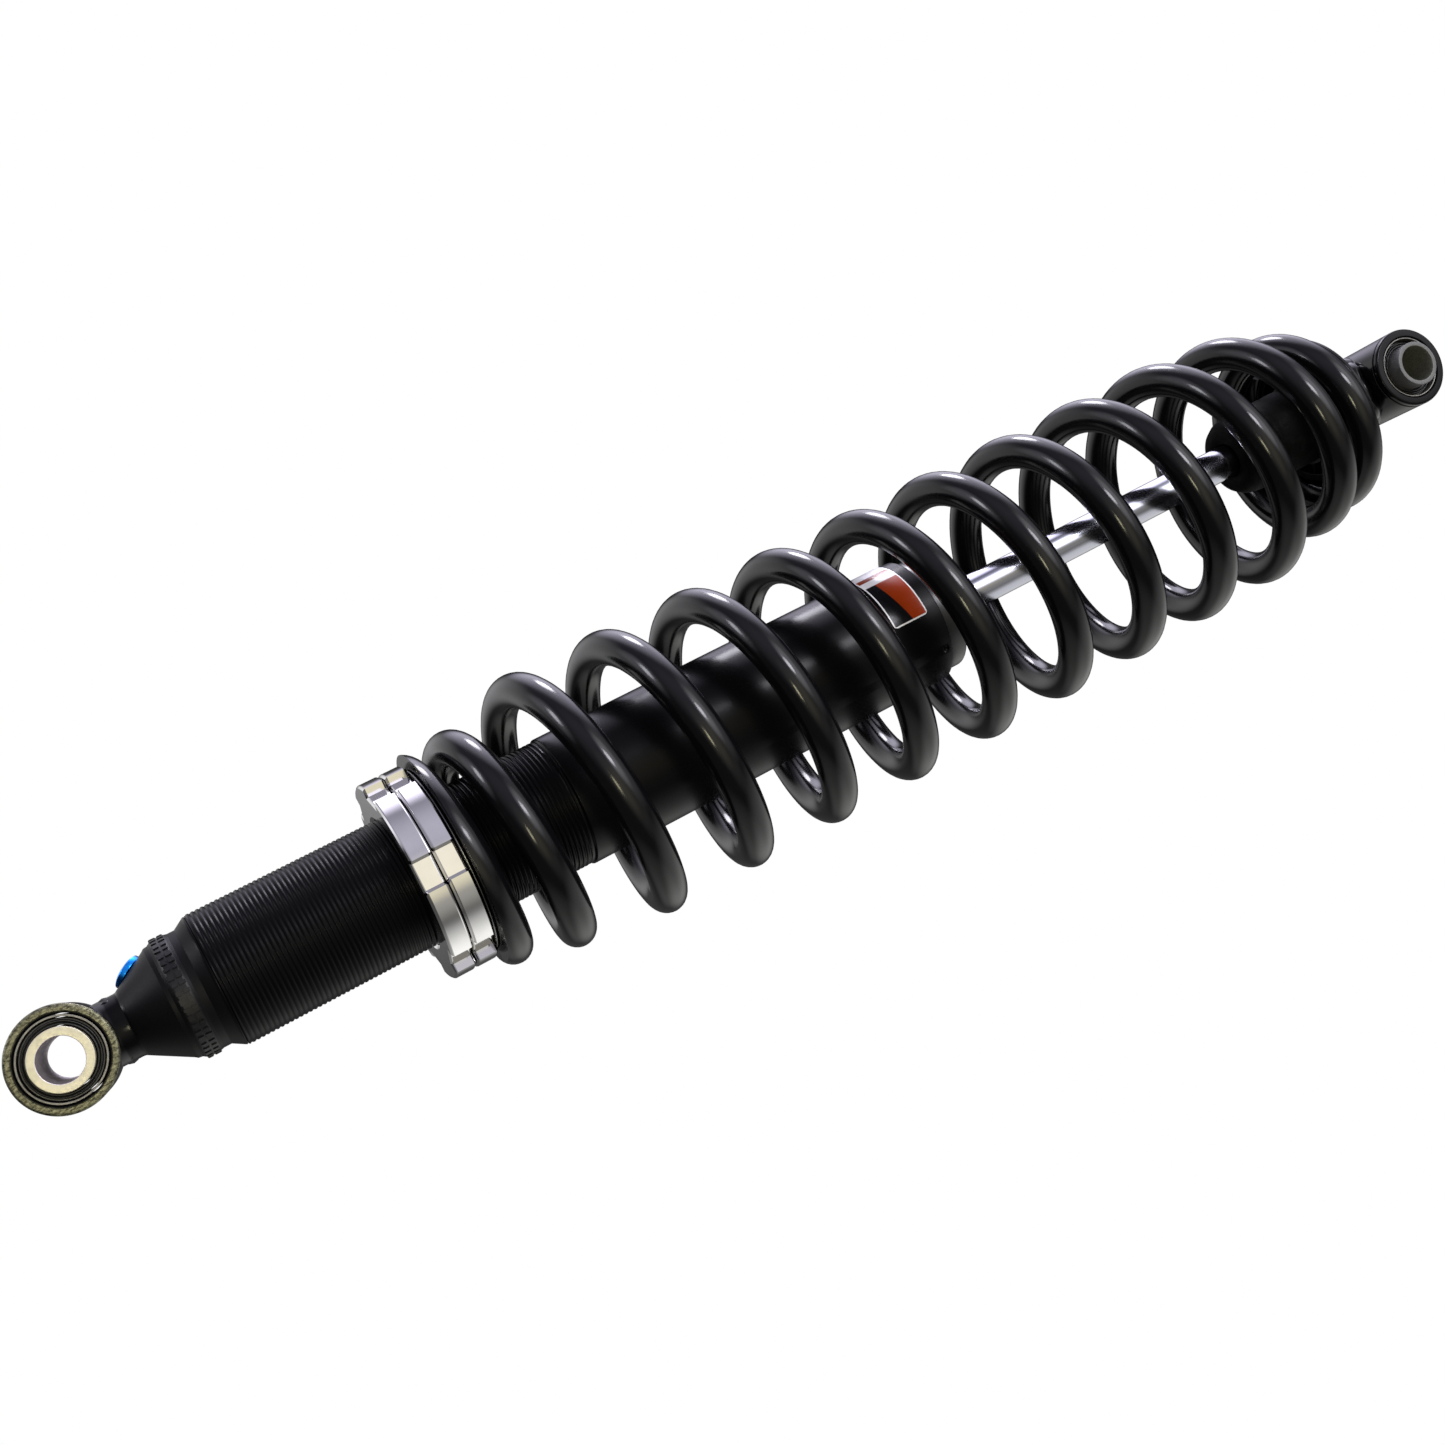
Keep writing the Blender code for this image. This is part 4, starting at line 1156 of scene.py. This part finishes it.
# Name, turn, rise, distance, width, height, radiance and colour
LIGHTS = (
    ("back_softbox", -159.0, 61.0, 1.6, 0.52, 0.46, 10.4, (0.94, 0.92, 1.0)),
    ("left_softbox", -69.0, 13.0, 1.6, 0.30, 0.46, 9.0, (0.92, 0.93, 1.0)),
    ("right_softbox", 35.0, 36.0, 1.6, 0.38, 0.44, 12.5, (0.93, 0.93, 1.0)),
    ("warm_panel", 0.0, -8.0, 1.4, 0.34, 0.17, 11.5, (1.0, 0.94, 0.62)),
)


def direction(turn, rise):
    """Unit vector from the object: turn degrees to the right of the camera's own direction, then up."""
    a, e = math.radians(turn), math.radians(rise)
    return RIGHT * (math.sin(a) * math.cos(e)) + UP * math.sin(e) - FORWARD * (math.cos(a) * math.cos(e))


def make_camera():
    data = bpy.data.cameras.new("camera")
    data.sensor_width = 36.0
    data.lens = LENS
    data.clip_start = 0.01
    camera = object_of("camera", data)
    axes = Matrix((RIGHT, UP, -FORWARD)).transposed()
    camera.matrix_world = Matrix.Translation(CAMERA_FOOT) @ axes.to_4x4()
    bpy.context.scene.camera = camera


def make_light(name, turn, rise, distance, width, height, radiance, colour):
    data = bpy.data.lights.new(name, "AREA")
    data.shape = "ELLIPSE"
    data.size = width
    data.size_y = height
    data.color = colour
    data.energy = STUDIO_LEVEL * radiance * math.pi * width * height
    light = object_of(name, data)
    way = direction(turn, rise)
    light.location = CENTRE + way * distance
    light.rotation_euler = way.to_track_quat("Z", "Y").to_euler()
    light.visible_camera = False


def dot_ramp(tree, first, second, low, high):
    """Smooth rise from nil to one as the dot product of two directions goes from low to high."""
    dot = new_node(tree, "ShaderNodeVectorMath", {0: first, 1: second}, operation="DOT_PRODUCT")
    inputs = {"Value": dot["Value"], "From Min": low, "From Max": high}
    ramp = new_node(tree, "ShaderNodeMapRange", inputs, interpolation_type="SMOOTHSTEP")
    return ramp["Result"]


def finish_with(tree, output, factor, first, second):
    """Send a mix of two shaders to the tree's output."""
    inputs = {0: factor, 1: first[0], 2: second[0]}
    mix = new_node(tree, "ShaderNodeMixShader", inputs)
    new_node(tree, output, {"Surface": mix[0]})


def make_world():
    """White to the camera; to everything else a dim studio with a few broad glows."""
    world = bpy.data.worlds.new("studio")
    bpy.context.scene.world = world
    world.use_nodes = True
    tree = world.node_tree
    tree.nodes.clear()
    way = tree.nodes.new("ShaderNodeTexCoord").outputs["Generated"]

    def vector_math(operation, inputs):
        return new_node(tree, "ShaderNodeVectorMath", inputs, operation=operation)["Vector"]

    total = None
    for turn, rise, reach, core, colour in GLOWS:
        edges = [math.cos(math.radians(angle)) for angle in (reach, core)]
        strength = dot_ramp(tree, way, direction(turn, rise), *edges)
        glow = vector_math("SCALE", {0: colour, "Scale": strength})
        total = vector_math("ADD", {0: total, 1: glow}) if total else glow
    studio = new_node(tree, "ShaderNodeBackground", {"Color": total, "Strength": STUDIO_LEVEL})
    white = new_node(tree, "ShaderNodeBackground", {"Color": (1.0, 1.0, 1.0)})
    seen = tree.nodes.new("ShaderNodeLightPath").outputs["Is Camera Ray"]
    finish_with(tree, "ShaderNodeOutputWorld", seen, studio, white)


def make_floor():
    """Pale floor, plain white where it's seen at a low angle, that casts nothing onto the part."""
    mesh = mesh_from("floor", lambda bm: bmesh.ops.create_grid(bm, x_segments=1, y_segments=1, size=6.0))
    material = bpy.data.materials.new("pale_floor")
    material.use_nodes = True
    tree = material.node_tree
    tree.nodes.clear()
    geometry = tree.nodes.new("ShaderNodeNewGeometry").outputs
    steep = dot_ramp(tree, geometry["Incoming"], geometry["Normal"], 0.20, 0.45)
    pale = new_node(tree, "ShaderNodeBsdfDiffuse", {"Color": (0.9, 0.9, 0.9)})
    white = new_node(tree, "ShaderNodeEmission", {})
    finish_with(tree, "ShaderNodeOutputMaterial", steep, white, pale)
    mesh.materials.append(material)
    floor = object_of("floor", mesh)
    floor.location.z = cad_box[0].z - 0.0004
    for kind in ("diffuse", "glossy", "transmission", "shadow"):
        setattr(floor, "visible_" + kind, False)


make_camera()
make_world()
make_floor()
for row in LIGHTS:
    make_light(*row)

bpy.context.scene.view_settings.view_transform = "Standard"
